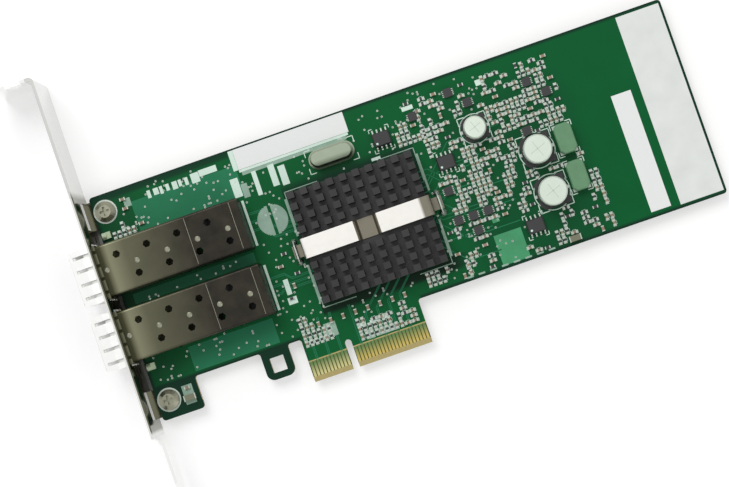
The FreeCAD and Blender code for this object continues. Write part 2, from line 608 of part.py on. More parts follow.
def make_host_connector(side):
    """The socket at the back of a cage, with its card slot, and its two rows of contact tails."""
    body = new_body(f"{side}_host_connector")
    y = CAGE_Y[side]
    rear = "(-cage_rear - cage_wall - host_rear)"
    front = f"({rear} - host_length)"
    sketch = new_sketch(body, "XY_Plane", "0")
    rectangle(sketch, front, rear, f"({y} - host_width / 2)", f"({y} + host_width / 2)")
    pad(body, sketch, "host_height")
    sketch = new_sketch(body, "YZ_Plane", f"{front} - past")
    rectangle(sketch, f"({y} - host_slot_width / 2)", f"({y} + host_slot_width / 2)",
              "host_slot_z", "host_slot_z + host_slot_height")
    pocket(body, sketch, "host_slot_depth + past", reverse=True)

    def mouth_edge(a, b):
        return near(a.x, front) and near(b.x, front) and near(a.z, "host_height") and near(b.z, "host_height")
    round_edges(body, "host_height / 6", mouth_edge, kind="Chamfer")

    tails = []
    for step in range(8):
        place = val(f"{y} + ({step} - 3.5) * contact_pitch")
        for edge, sign in ((front, "-"), (rear, "+")):
            x = val(f"{edge} {sign} contact_length / 2")
            tails.append(box_at(x, place, 0, val("contact_length"), val("contact_width"),
                                val("contact_thick")))
    group(f"{side}_host_contacts", tails)


# ---------------------------------------------------------------- controller, heat sink and clip
def make_controller():
    balls = []
    count = int(val("chip_side") // val("ball_pitch"))
    for i in range(count):
        for j in range(count):
            if min(i, j, count - 1 - i, count - 1 - j) == 0:
                x = val(f"sink_x + ({i} - ({count} - 1) / 2) * ball_pitch")
                y = val(f"sink_y + ({j} - ({count} - 1) / 2) * ball_pitch")
                balls.append(prism(x, y, 0, val("ball_radius"), val("ball_height"), 6))
    group("solder_balls", balls)
    block("controller_base", "sink_x - chip_side / 2", "sink_y - chip_side / 2", "ball_height",
          "chip_side", "chip_side", "chip_base")
    body = new_body("controller_cap")
    sketch = new_sketch(body, "XY_Plane", "ball_height + chip_base")
    rectangle(sketch, "sink_x - chip_cap_side / 2", "sink_x + chip_cap_side / 2",
              "sink_y - chip_cap_side / 2", "sink_y + chip_cap_side / 2")
    pad(body, sketch, "chip_cap")
    round_edges(body, "chip_cap / 2", lambda a, b: near(a.z, "ball_height + chip_base + chip_cap")
                and near(b.z, "ball_height + chip_base + chip_cap"), kind="Chamfer")
    block("thermal_pad", "sink_x - pad_side / 2", "sink_y - pad_side / 2",
          "ball_height + chip_base + chip_cap", "pad_side", "pad_side", "pad_thick")


def make_heat_sink():
    """A base with pins: ribs along Y, then saw cuts across them and the clip's wider channel."""
    body = new_body("heat_sink")
    half = "(sink_length / 2)"
    columns = int((val("sink_length") - val("pin_length")) // val("pin_pitch")) + 1
    ribs = [f"(sink_x - {half} + {i} * pin_pitch)" for i in range(columns)]
    comb = [(ribs[0], SINK_SEAT)]
    for place in ribs:
        if place is not ribs[0]:
            comb.append((place, SINK_FLOOR))
        comb.append((place, SINK_TOP))
        comb.append((f"({place} + pin_length)", SINK_TOP))
        if place is not ribs[-1]:
            comb.append((f"({place} + pin_length)", SINK_FLOOR))
    comb.append((f"({ribs[-1]} + pin_length)", SINK_SEAT))
    sketch = new_sketch(body, "XZ_Plane", "-sink_y - sink_width / 2")
    outline(sketch, comb)
    pad(body, sketch, "sink_width")

    bank = (val("sink_width") - val("channel_width")) / 2
    rows = int((bank - val("pin_width")) // val("pin_step")) + 1
    sketch = new_sketch(body, "YZ_Plane", f"{SINK_LEFT} - past")
    for sign in "-+":
        for i in range(rows):
            outer = f"(sink_y {sign} (sink_width / 2 - {i} * pin_step - pin_width))"
            last = i == rows - 1
            inner = "sink_y" if last else f"(sink_y {sign} (sink_width / 2 - {i + 1} * pin_step))"
            if last and sign == "+":
                continue
            if last:
                inner = f"(sink_y + sink_width / 2 - {i} * pin_step - pin_width)"
            low, high = (outer, inner) if sign == "-" else (inner, outer)
            rectangle(sketch, low, high, SINK_FLOOR, f"({SINK_TOP} + past)")
    pocket(body, sketch, "sink_length + 2 * past", reverse=True)


def make_clip():
    """Flat spring strip in the channel: pressed down in the middle, hooked under both anchors."""
    body = new_body("spring_clip")
    end = "(sink_length / 2 + clip_overhang + clip_thick)"
    toe = f"({end} + clip_foot_length)"
    wing = CLIP_WING
    slope = "(clip_thick / 2)"
    lower = [("clip_dip_flat", SINK_FLOOR), ("clip_dip", wing), (f"({end} - clip_thick)", wing),
             (f"({end} - clip_thick)", "clip_foot_z"), (toe, "clip_foot_z")]
    upper = [(toe, "(clip_foot_z + clip_thick)"), (end, "(clip_foot_z + clip_thick)"),
             (end, f"({wing} + clip_thick)"), (f"(clip_dip - {slope})", f"({wing} + clip_thick)"),
             (f"(clip_dip_flat - {slope})", f"({SINK_FLOOR} + clip_thick)")]
    right = [(f"(sink_x + {x})", z) for x, z in lower + upper]
    left = [(f"(sink_x - {x})", z) for x, z in reversed(lower + upper)]
    sketch = new_sketch(body, "XZ_Plane", "-sink_y - clip_width / 2")
    outline(sketch, right + left)
    pad(body, sketch, "clip_width")

    def bend(x_text, z_text):
        def wanted(a, b):
            same = abs(a.x - b.x) < 1e-6 and abs(a.z - b.z) < 1e-6
            return same and near(abs(a.x - val("sink_x")), x_text) and near(a.z, z_text)
        return wanted
    round_edges(body, "2 * clip_thick", bend(end, f"({wing} + clip_thick)"))
    round_edges(body, "clip_thick", bend(f"({end} - clip_thick)", wing))

    # the feet are narrower than the strip, to pass between the anchors' legs
    for sign in ("-", "+"):
        sketch = new_sketch(body, "XY_Plane", "clip_foot_z + 2 * clip_thick")
        inner = f"(sink_x {sign} ({end} - clip_thick))"
        outer = f"(sink_x {sign} ({toe} + past))"
        x_low, x_high = (outer, inner) if sign == "-" else (inner, outer)
        rectangle(sketch, x_low, x_high, "(sink_y - clip_width / 2 - past)", "(sink_y - clip_foot_width / 2)")
        rectangle(sketch, x_low, x_high, "(sink_y + clip_foot_width / 2)", "(sink_y + clip_width / 2 + past)")
        pocket(body, sketch, "3 * clip_thick")


def make_anchors():
    """Two wire staples soldered through the board, whose bars hold the clip's feet down."""
    radius = val("anchor_wire")
    bend = val("anchor_bend")
    half = val("anchor_span") / 2
    bar = val(ANCHOR_BAR)
    low = val(f"{BOARD_BACK} - anchor_past")
    loops = []
    for text in ANCHOR_X.values():
        x, y = val(text), val("sink_y")
        path = Part.makePolygon([
            Vector(x, y - half, low), Vector(x, y - half, bar - bend), Vector(x, y - half + bend, bar),
            Vector(x, y + half - bend, bar), Vector(x, y + half, bar - bend), Vector(x, y + half, low)])
        ring = Part.makePolygon(rim(x, y - half, low, radius, 8))
        loops.append(path.makePipeShell([ring], True, False, 1))
    group("clip_anchors", loops)


# ---------------------------------------------------------------- capacitors, crystal, chips, chokes
def make_can(name):
    """A can capacitor: crimped can, moulded base with two cut corners, and two flat leads."""
    x, y, size = CANS[name]
    across = f"{size}_can"
    body = new_body(f"capacitor_base_{name}")
    edge = f"({across} / 2 + base_margin)"
    sketch = new_sketch(body, "XY_Plane", "lead_thick")
    outline(sketch, [
        (f"({x} - {edge})", f"({y} - {edge} + base_cut)"), (f"({x} - {edge} + base_cut)", f"({y} - {edge})"),
        (f"({x} + {edge})", f"({y} - {edge})"), (f"({x} + {edge})", f"({y} + {edge})"),
        (f"({x} - {edge} + base_cut)", f"({y} + {edge})"), (f"({x} - {edge})", f"({y} + {edge} - base_cut)")])
    pad(body, sketch, "base_thick")

    seat = val("lead_thick + base_thick")
    radius = val(f"{across} / 2")
    top = val(f"lead_thick + {across}_height")
    lip = val("can_lip")
    neck = radius - val("rolled_depth")
    rolled = seat + val("rolled_height")
    profile = [Vector(0, 0, seat), Vector(neck, 0, seat), Vector(radius, 0, rolled),
               Vector(radius, 0, top - lip), Vector(radius - lip, 0, top), Vector(0, 0, top),
               Vector(0, 0, seat)]
    can = Part.Face(Part.makePolygon(profile)).revolve(Vector(0, 0, 0), Vector(0, 0, 1), 360)
    piece = doc.addObject("Part::Feature", f"capacitor_can_{name}")
    piece.Label = piece.Name
    piece.Shape = can
    piece.Placement = Placement(Vector(val(x), val(y), 0), Rotation())
    SUB_PARTS.append(piece)

    reach = val(f"{edge} + lead_out")
    length = val("lead_in + lead_out")
    return [box_at(val(x) + sign * (reach - length / 2), val(y), 0, length, val("lead_width"),
                   val("lead_thick")) for sign in (-1, 1)]


def make_crystal():
    """A low-profile metal-cased crystal: a rim plate under a drawn can, both with round ends."""
    body = new_body("crystal_can")
    straight = "(crystal_length - crystal_width) / 2"
    for margin, level, height in (("crystal_rim", "0", "crystal_rim_thick"),
                                  ("0", "crystal_rim_thick", "crystal_height - crystal_rim_thick")):
        radius = f"(crystal_width / 2 + {margin})"
        sketch = new_sketch(body, "XY_Plane", level)
        rectangle(sketch, f"(crystal_x - {straight})", f"(crystal_x + {straight})",
                  f"(crystal_y - {radius})", f"(crystal_y + {radius})")
        pad(body, sketch, height)
        sketch = new_sketch(body, "XY_Plane", level)
        circle(sketch, f"(crystal_x - {straight})", "crystal_y", radius)
        circle(sketch, f"(crystal_x + {straight})", "crystal_y", radius)
        pad(body, sketch, height)
    round_edges(body, "crystal_rim", lambda a, b: near(a.z, "crystal_height")
                and near(b.z, "crystal_height"), kind="Chamfer")


def make_so_chip(name):
    """An eight-lead moulded chip: bevelled body and gull-wing leads."""
    x, y = SO_CHIPS[name]
    body = new_body(f"{name}_chip")
    for level, height, top in (("so_stand", "so_height / 2", False),
                               ("(so_stand + so_height / 2)", "so_height / 2", True)):
        sketch = new_sketch(body, "XY_Plane", level)
        rectangle(sketch, f"({x} - so_length / 2)", f"({x} + so_length / 2)",
                  f"({y} - so_width / 2)", f"({y} + so_width / 2)")
        pad(body, sketch, height)
        if top:
            round_edges(body, "so_height / 5", lambda a, b: near(a.z, "so_stand + so_height")
                        and near(b.z, "so_stand + so_height"), kind="Chamfer")
    thick = val("so_lead_thick")
    high = val("so_lead_z")
    out = val("so_lead_out")
    bend = val("so_lead_bend")
    lead = Part.makePolygon([Vector(0, y0, z0) for y0, z0 in (
        (0, high), (0, high + thick), (bend, high + thick), (bend + thick, thick), (out, thick),
        (out, 0), (bend, 0), (0, high))])
    width = val("so_lead_width")
    solid = Part.Face(lead).extrude(Vector(width, 0, 0))
    leads = []
    for step in range(4):
        for turn in (0, 180):
            copy = solid.copy()
            copy.translate(Vector(-width / 2, val("so_width / 2"), 0))
            copy.rotate(Vector(0, 0, 0), Vector(0, 0, 1), turn)
            copy.translate(Vector(val(f"{x} + ({step} - 1.5) * so_pitch"), val(y), 0))
            leads.append(copy)
    return leads


def make_chokes():
    """Two shielded power chokes with cut corners, each on a thin plate at either end."""
    for number, name in enumerate(("upper", "lower")):
        y = f"(choke_y - {number} * choke_pitch)"
        body = new_body(f"{name}_choke")
        sketch = new_sketch(body, "XY_Plane", "choke_plate")
        corners = []
        for a, b, first in (("-", "-", 0), ("+", "-", 1), ("+", "+", 0), ("-", "+", 1)):
            pair = [(f"(choke_x {a} choke_width / 2)", f"({y} {b} (choke_length / 2 - choke_cut))"),
                    (f"(choke_x {a} (choke_width / 2 - choke_cut))", f"({y} {b} choke_length / 2)")]
            corners += pair if not first else pair[::-1]
        outline(sketch, corners)
        pad(body, sketch, "choke_height")
        top = "(choke_plate + choke_height)"
        round_edges(body, "choke_cut / 4", lambda a, b, level=top: near(a.z, level)
                    and near(b.z, level), kind="Chamfer")
    plates = []
    for number in range(2):
        for sign in (-1, 1):
            y = val(f"choke_y - {number} * choke_pitch + {sign} * 3 * choke_length / 8")
            plates.append(box_at(val("choke_x"), y, 0, val("choke_width"), val("choke_length / 4"),
                                 val("choke_plate")))
    group("choke_terminals", plates)


def make_lights():
    """Two surface-mounted lights that look out through the bracket, each with a round lens."""
    lights = []
    for y in LED_Y.values():
        length, width, height = val("led_length"), val("led_width"), val("led_height")
        x = val(LED_X)
        base = box_at(x + length / 2, val(y), 0, length, width, height / 2)
        lens = Part.makeCylinder(val("led_lens"), length / 2, Vector(x, val(y), height / 2), Vector(1, 0, 0))
        lights.append(base.fuse(lens).removeSplitter())
    group("port_lights", lights)


# ---------------------------------------------------------------- small chip parts
def keep_clear():
    """Rectangles on the component face that the small parts stay out of: low x, high x, low y, high y."""
    zones = [("spare_x", "spare_y", "spare_length", "spare_width"),
             ("can_one_x", "can_one_y", "small_can + 2 * base_margin + 2 * lead_out",
              "small_can + 2 * base_margin")]
    for name in ("two", "three"):
        zones.append((f"can_{name}_x", f"can_{name}_y", "large_can + 2 * base_margin + 2 * lead_out",
                      "large_can + 2 * base_margin"))
    for x, y in SO_CHIPS.values():
        zones.append((x, y, "so_length", "so_width + 2 * so_lead_out"))
    for number in range(2):
        zones.append(("choke_x", f"(choke_y - {number} * choke_pitch)", "choke_width", "choke_length"))
    for x in ANCHOR_X.values():
        zones.append((x, "sink_y", "clip_foot_length + 4 * anchor_wire", "anchor_span + 4 * anchor_wire"))
    for y in CAGE_Y.values():
        zones.append(("(-cage_rear - cage_length / 2)", y, "cage_length", "cage_width"))
    found = []
    for x, y, length, width in zones:
        half_x, half_y = val(length) / 2, val(width) / 2
        found.append((val(x) - half_x, val(x) + half_x, val(y) - half_y, val(y) + half_y))
    return found


def chip_part(kind, x, y, turned, level=0.0, down=False):
    """Body and two end caps of one small part, centred on x and y. A turned one lies along Y."""
    length, width, height = (val(f"{kind}_{word}") for word in ("length", "width", "height"))
    end, skin = val("end_length"), val("end_skin")
    body = box_at(0, 0, skin, length - 2 * end, width - 2 * skin, height - 2 * skin)
    caps = [box_at(sign * (length - end) / 2, 0, 0, end, width, height) for sign in (-1, 1)]
    for piece in (body, *caps):
        if down:
            piece.rotate(Vector(0, 0, 0), Vector(1, 0, 0), 180)
        if turned:
            piece.rotate(Vector(0, 0, 0), Vector(0, 0, 1), 90)
        piece.translate(Vector(x, y, level))
    return body, caps


def footprint(kind, x, y, turned):
    length, width = val(f"{kind}_length"), val(f"{kind}_width")
    if turned:
        length, width = width, length
    return x - length / 2, x + length / 2, y - width / 2, y + width / 2


def meets(a, b, space):
    return a[0] < b[1] + space and b[0] < a[1] + space and a[2] < b[3] + space and b[2] < a[3] + space


def front_places():
    """The small parts of the component face: kind, x, y and turned."""
    places = []
    # the power and clock field right of the heat sink: a grid, thinned towards its right edge
    columns = int((val("field_right") - val("field_left")) // val("field_step_x")) + 1
    rows = int((val("field_top") - val("field_bottom")) // val("field_step_y")) + 1
    for i in range(columns):
        for j in range(rows):
            x = val("field_left") + i * val("field_step_x")
            y = val("field_bottom") + j * val("field_step_y")
            mixed = (7 * i + 5 * j + i * j) % 11
            edge = i + abs(j - rows / 2) / 3 > columns + 1.5
            if mixed in (3, 8) or (edge and mixed % 2):
                continue
            kind = "bulk" if mixed == 6 and i % 3 == 1 else "resistor" if mixed % 3 == 1 else "chip_cap"
            places.append((kind, x, y, (i + 2 * j) % 5 == 0 and kind != "bulk"))
    # coupling capacitors above the card edge
    for i in range(8):
        x = val("key_to_right - coupling_inset") - i * val("coupling_pitch")
        places.append(("chip_cap", x, val("tongue_depth + coupling_rise"), True))
    # bypass parts between the cages and the heat sink, and those beside the bracket's screws
    for i in range(6):
        places.append(("chip_cap" if i % 2 else "resistor", val("bypass_x") + (i % 3) * val("bypass_step_x"),
                       val("bypass_y") + i * val("bypass_step_y"), i % 4 == 1))
    for kind, screw, x, y in SCREW_SIDE_PARTS:
        places.append((kind, val(SCREW_X) + x, val(screw) + y, False))
    return places


def make_small_parts():
    space = val("part_space")
    zones = keep_clear()
    bodies = {"chip_cap": [], "resistor": [], "bulk": []}
    ends = []
    for kind, x, y, turned in front_places():
        mark = footprint(kind, x, y, turned)
        if any(meets(mark, zone, space) for zone in zones):
            continue
        zones.append(mark)
        body, caps = chip_part(kind, x, y, turned)
        bodies[kind].append(body)
        ends += caps
    group("ceramic_capacitors", bodies["chip_cap"])
    group("resistors", bodies["resistor"])
    group("bulk_capacitors", bodies["bulk"])
    group("part_terminals", ends)

    # bypass capacitors on the solder face, in rings under the controller
    backs, back_ends = [], []
    level = val(BOARD_BACK)
    for i in range(4):
        for j in range(4):
            if (i + j) % 2 == 0:
                x = val("sink_x") + (i - 1.5) * val("under_step")
                y = val("sink_y") + (j - 1.5) * val("under_step")
                body, caps = chip_part("chip_cap", x, y, i % 2 == 0, level, down=True)
                backs.append(body)
                back_ends += caps
    group("solder_side_capacitors", backs)
    group("solder_side_terminals", back_ends)


# ---------------------------------------------------------------- labels
def make_labels():
    block("top_label", "top_label_x - top_label_length / 2",
          f"{BOARD_TOP} - top_label_inset - top_label_height", "0",
          "top_label_length", "top_label_height", "label_thick")
    end_left = f"({BOARD_RIGHT} - end_label_inset - end_label_width)"
    block("end_label", end_left, "tongue_depth + end_label_margin", "0",
          "end_label_width", "board_height - 2 * end_label_margin", "label_thick")
    block("side_label", f"{end_left} - side_label_space - side_label_width",
          "tongue_depth + end_label_margin + side_label_rise", "0",
          "side_label_width", "side_label_height", "label_thick")


def build():
    make_board()
    make_edge_contacts()
    make_bracket()
    make_bracket_screws()
    for side in CAGE_Y:
        make_cage(side)
        make_collar(side)
        make_host_connector(side)
    make_controller()
    make_heat_sink()
    make_clip()
    make_anchors()
    leads = []
    for name in CANS:
        leads += make_can(name)
    group("capacitor_leads", leads)
    make_crystal()
    leads = []
    for name in SO_CHIPS:
        leads += make_so_chip(name)
    group("chip_leads", leads)
    make_chokes()
    make_lights()
    make_small_parts()
    make_labels()


def write_parts():
    """Checks every object and every solid, then writes one file for each sub-part."""
    doc.recompute()
    for item in doc.Objects:
        if {"Invalid", "Error"} & set(item.State):
            raise ValueError(f"{item.Name} did not compute: {item.State}")
    for item in SUB_PARTS:
        if item.Shape.isNull() or not item.Shape.isValid() or not item.Shape.Solids:
            raise ValueError(f"{item.Label} has no valid solid")
        if min(solid.Volume for solid in item.Shape.Solids) <= 0:
            raise ValueError(f"{item.Label} has a solid that is inside out")
    os.makedirs("parts", exist_ok=True)
    for item in SUB_PARTS:
        item.Shape.exportStep(f"parts/{item.Label}.step")
        print(item.Label, len(item.Shape.Solids), round(item.Shape.Volume, 2))


build()
write_parts()
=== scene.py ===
import json
import math

import bpy
import numpy as np
from bpy.props import FloatProperty, FloatVectorProperty, IntProperty, PointerProperty
from mathutils import Matrix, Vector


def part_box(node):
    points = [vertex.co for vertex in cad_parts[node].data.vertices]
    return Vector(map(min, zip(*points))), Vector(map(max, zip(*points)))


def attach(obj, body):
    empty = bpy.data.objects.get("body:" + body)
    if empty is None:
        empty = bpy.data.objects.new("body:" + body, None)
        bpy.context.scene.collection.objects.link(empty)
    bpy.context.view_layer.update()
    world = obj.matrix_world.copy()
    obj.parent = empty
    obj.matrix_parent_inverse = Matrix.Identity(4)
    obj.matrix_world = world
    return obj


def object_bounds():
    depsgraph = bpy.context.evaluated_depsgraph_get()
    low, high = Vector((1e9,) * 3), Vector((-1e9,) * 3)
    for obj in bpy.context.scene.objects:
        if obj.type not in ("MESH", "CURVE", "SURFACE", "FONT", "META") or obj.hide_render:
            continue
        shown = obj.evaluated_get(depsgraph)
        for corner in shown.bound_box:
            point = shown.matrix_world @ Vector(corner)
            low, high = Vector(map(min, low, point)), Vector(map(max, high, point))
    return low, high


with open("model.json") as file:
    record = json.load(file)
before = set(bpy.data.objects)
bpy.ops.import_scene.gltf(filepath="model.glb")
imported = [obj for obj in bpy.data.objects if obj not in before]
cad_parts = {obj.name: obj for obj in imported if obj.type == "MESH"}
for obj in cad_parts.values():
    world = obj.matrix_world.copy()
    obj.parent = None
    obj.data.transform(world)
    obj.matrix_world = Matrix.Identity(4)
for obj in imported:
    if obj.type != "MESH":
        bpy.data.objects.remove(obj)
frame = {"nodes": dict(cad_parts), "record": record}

bl_info = {
    "name": "Network card dressing",
    "version": (1, 0, 0),
    "blender": (4, 5, 0),
    "location": "View3D > Sidebar > Network card",
    "description": "Finishes and fine detail of a dual-port network card",
    "category": "Object",
}

MM = 0.001
LEFT, RIGHT, LOW, HIGH = 0, 1, 2, 3
CAD_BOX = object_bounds()
BOARD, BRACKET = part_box("circuit_board"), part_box("mounting_bracket")
BOARD_THICK = -BOARD[0][2] / MM
# The inner end of the bracket's tab, the cages' mouths and the middle of its sheet, along X in metres
TAB_END, CAGE_MOUTH, SHEET = (BRACKET[0][0] + part * MM for part in (10.0, 11.6, 11.9))
TONGUE_TOP, TONGUE_LEFT = 12.4, -12.8
CANS = ("capacitor_can_one", "capacitor_can_two", "capacitor_can_three")
CHIPS = ("flash_chip", "memory_chip", "driver_chip")
CAGES = ("upper_port_cage", "lower_port_cage")
# Pale steel: the cages' snouts outside the bracket, and the bracket's painted grey shade above the
# board
PALE_STEEL = (0.70, 0.70, 0.68)
# The two tracks of a pair lie this far to either side of its middle, and holes lie on a grid
PAIR, HOLE_GRID = (-0.22, 0.22), 0.635
# The camera: the point it looks at and its distance in metres, its turns in degrees and its lens
AIM, DISTANCE, LENS = (0.013227, 0.031811, 0.0), 0.55, 98.13
TURNS = (("X", -1.449), ("Y", -3.151), ("Z", 19.060))
# Rectangles on the board's face are (left, right, lower, upper)
SPARE_PLACES = [(47.5, 55.4, 13.4, 22.0), (48.6, 50.6, 25.4, 27.4)]
PART_FIELDS = [(37.8, 81.0, 13.6, 67.0), (3.6, 21.2, 6.5, 15.6), (-11.6, -1.8, 9.6, 17.2),
               (30.8, 37.6, 53.6, 60.4), (26.0, 37.6, 14.2, 16.4), (-54.0, -45.4, 55.6, 60.0)]
# In each of these a part is left out where its mixed number, from -1 to 1, is over the first one
ALL, FAR = -2.0, 1000.0
THINNED = [(ALL, (46.8, 56.0, -FAR, 25.8)), (ALL, (77.5, FAR, 38.0, FAR)),
           (ALL, (79.2, FAR, 31.0, FAR)), (ALL, (80.5, FAR, -FAR, FAR)),
           (0.25, (-FAR, 68.0, 57.0, FAR)), (0.25, (52.0, 80.0, -FAR, 46.0)),
           (-0.5, (31.0, 45.0, -FAR, 24.0)), (-0.4, (64.8, 71.2, -FAR, 21.0)),
           (0.5, (36.0, 46.0, 23.0, 37.0)), (0.6, (2.0, 22.0, 11.2, 16.0))]
NO_CHIPS = [(46.8, 56.0, -FAR, 27.0), (76.0, FAR, -FAR, FAR)]
# Plain pale blocks beside the round mark, by the lower cage and along the edges, and worn ones
PALE_BLOCKS = [(-26.6, -24.2, 63.2, 66.0), (-24.1, -18.9, 64.4, 66.2), (-16.6, -14.3, 55.4, 60.8),
               (-10.2, -8.9, 54.0, 61.0), (-5.4, -3.6, 55.0, 61.2), (-2.8, -0.8, 54.4, 60.0),
               (-12.0, -9.4, 22.4, 24.4), (-11.6, -10.2, 25.2, 29.6), (56.6, 58.6, 62.8, 64.4),
               (35.0, 38.2, 62.8, 64.0), (22.6, 25.2, 52.6, 53.4)]
WORN_BLOCKS = [(5.6, 7.8, 6.4, 9.0), (8.6, 14.8, 6.5, 8.4), (-5.0, -1.6, 10.4, 14.4),
               (-48.0, -45.0, 5.6, 11.0), (-14.1, -12.3, 54.6, 58.6), (-46.6, -44.6, 63.2, 65.6)]


# ---- sizes and colours
def colour(name, description, default):
    """A colour property."""
    return FloatVectorProperty(name=name, description=description, subtype="COLOR", size=3,
                               min=0.0, max=1.0, default=default)


def length(name, description, default):
    """A length property, with its default in millimetres."""
    return FloatProperty(name=name, description=description, unit="LENGTH", precision=5,
                         min=0.0, default=default * MM)


class CardBoardLook(bpy.types.PropertyGroup):
    """The board's colours, tracks and printed marks"""

    mask: colour("Mask", "Solder mask over the board's inner copper", (0.0011, 0.099, 0.0255))
    pour: colour("Pour", "Solder mask over solid copper", (0.018, 0.185, 0.085))
    # also the colour of the painted shade round the heat sink, towards the bracket and between the
    # small parts
    no_copper_and_shade: colour("No copper", "Solder mask along the edges, with no copper under it",
                      (0.003, 0.030, 0.015))
    laminate: colour("Laminate", "Cut edge and unmasked glass-epoxy", (0.46, 0.385, 0.165))
    legend: colour("Legend", "Printed marks", (0.66, 0.82, 0.72))
    worn: colour("Worn legend", "Thinly printed marks", (0.28, 0.42, 0.33))
    track_width: length("Track width", "Width of a signal track", 0.22)
    track_height: length("Track height", "Height of a track under the mask", 0.02)
    legend_height: length("Legend height", "Thickness of the printed marks", 0.03)


class CardPartSizes(bpy.types.PropertyGroup):
    """The small parts and how they lie"""

    block: length("Block", "Side of one block of small parts", 4.3)
    part_length: length("Part length", "Length of a small chip part", 1.5)
    part_width: length("Part width", "Width of a small chip part", 0.78)
    part_height: length("Part height", "Height of a small chip part", 0.6)
    pad_margin: length("Pad margin", "Solder pad beyond the part's end", 0.28)
    seed: IntProperty(name="Seed", description="Order of the mixed parts", default=7)


class CardStageLook(bpy.types.PropertyGroup):
    """The table, the lamps and the room"""

    floor: colour("Floor", "Pale table top", (0.58, 0.58, 0.58))
    key_power: FloatProperty(name="Key", description="Large lamp from the upper left", unit="POWER",
                             default=10.0)
    fill_power: FloatProperty(name="Fill", description="Lamp from the lower right", unit="POWER",
                              default=2.0)
    sky: FloatProperty(name="Sky", description="Level of the room's own light", default=0.55)


# ---- shader building
def math_node(operation, swapped=False):
    """A method that adds a Math node, with its two sides swapped where asked."""
    def method(self, other):
        first, second = (other, self) if swapped else (self, other)
        return self.shader.value("ShaderNodeMath", {"operation": operation}, {0: first, 1: second})
    return method


class Value:
    """A socket that carries a number. Its operators add Math nodes."""

    __add__, __radd__ = math_node("ADD"), math_node("ADD", True)
    __sub__, __rsub__ = math_node("SUBTRACT"), math_node("SUBTRACT", True)
    __mul__, __rmul__ = math_node("MULTIPLY"), math_node("MULTIPLY", True)
    __lt__, __gt__ = math_node("LESS_THAN"), math_node("GREATER_THAN")
    larger, smaller = math_node("MAXIMUM"), math_node("MINIMUM")

    def __init__(self, shader, socket):
        self.shader = shader
        self.socket = socket

    def ramp(self, base, start, end):
        """From 0 up to 1 between two places, in millimetres past the base, which is in metres."""
        ends = {"From Min": base + start * MM, "From Max": base + end * MM}
        return self.shader.value("ShaderNodeMapRange", {}, {"Value": self, **ends})

    def fade(self, base, start, end):
        """From 1 down to 0 in the same way."""
        return 1.0 - self.ramp(base, start, end)

    def within(self, start, end):
        """1 between the start and the end, and 0 outside them."""
        return (self > start) * (self < end)


class Shader:
    """One node material. node() makes every node, value() wraps its first output."""

    def __init__(self, name):
        self.material = bpy.data.materials.new(name)
        self.material.use_nodes = True
        self.tree = self.material.node_tree
        self.tree.nodes.clear()
        self.surface = self.node("ShaderNodeBsdfPrincipled", {}, {})
        self.node("ShaderNodeOutputMaterial", {}, {"Surface": self.surface.outputs[0]})

    def node(self, kind, settings, inputs):
        made = self.tree.nodes.new(kind)
        for key, item in settings.items():
            setattr(made, key, item)
        self.feed(made, inputs)
        return made

    def feed(self, made, inputs):
        for key, item in inputs.items():
            if isinstance(item, Value):
                item = item.socket
            if isinstance(item, bpy.types.NodeSocket):
                self.tree.links.new(item, made.inputs[key])
            else:
                made.inputs[key].default_value = item

    def value(self, kind, settings, inputs):
        return Value(self, self.node(kind, settings, inputs).outputs[0])

    def point(self):
        """The point in the frame's own axes, in metres."""
        return self.node("ShaderNodeTexCoord", {}, {}).outputs["Object"]

    def numbers(self, vector):
        """A vector's three numbers."""
        parts = self.node("ShaderNodeSeparateXYZ", {}, {0: vector})
        return [Value(self, part) for part in parts.outputs]

    def place(self):
        """The point's three numbers."""
        return self.numbers(self.point())

    def noise(self, scale, detail=2.0, point=None):
        """Even noise from 0 to 1, with that many lumps to the metre."""
        inputs = {"Vector": point or self.point(), "Scale": scale, "Detail": detail}
        return self.value("ShaderNodeTexNoise", {}, inputs)

    def mix(self, factor, first, second):
        """The first colour where the factor is 0, and the second where it is 1."""
        first, second = (item if isinstance(item, bpy.types.NodeSocket) else (*item, 1.0)
                         for item in (first, second))
        made = self.node("ShaderNodeMix", {"data_type": "RGBA"}, {0: factor, 6: first, 7: second})
        return made.outputs[2]

    def facing(self):
        """1 on faces that look along Z either way, and 0 on upright ones."""
        normal = self.node("ShaderNodeNewGeometry", {}, {}).outputs["Normal"]
        upward = self.numbers(normal)[2]
        return self.value("ShaderNodeMath", {"operation": "ABSOLUTE"}, {0: upward}) > 0.5

    def set(self, **inputs):
        """Feeds the surface's sockets, whose names take _ for a space."""
        self.feed(self.surface, {key.replace("_", " "): item for key, item in inputs.items()})
        return self.material

    def bump(self, height, depth):
        """A normal from a height of 0 to 1, as deep as that many millimetres."""
        return self.node("ShaderNodeBump", {}, {"Height": height, "Distance": depth * MM}).outputs[0]


def shade(rgb, level):
    """The colour, so many times as bright."""
    return tuple(min(1.0, part * level) for part in rgb)


def mottled(shader, rgb, scale, spread):
    """The colour, a little darker and lighter in turn."""
    return shader.mix(shader.noise(scale), shade(rgb, 1 - spread), shade(rgb, 1 + spread))


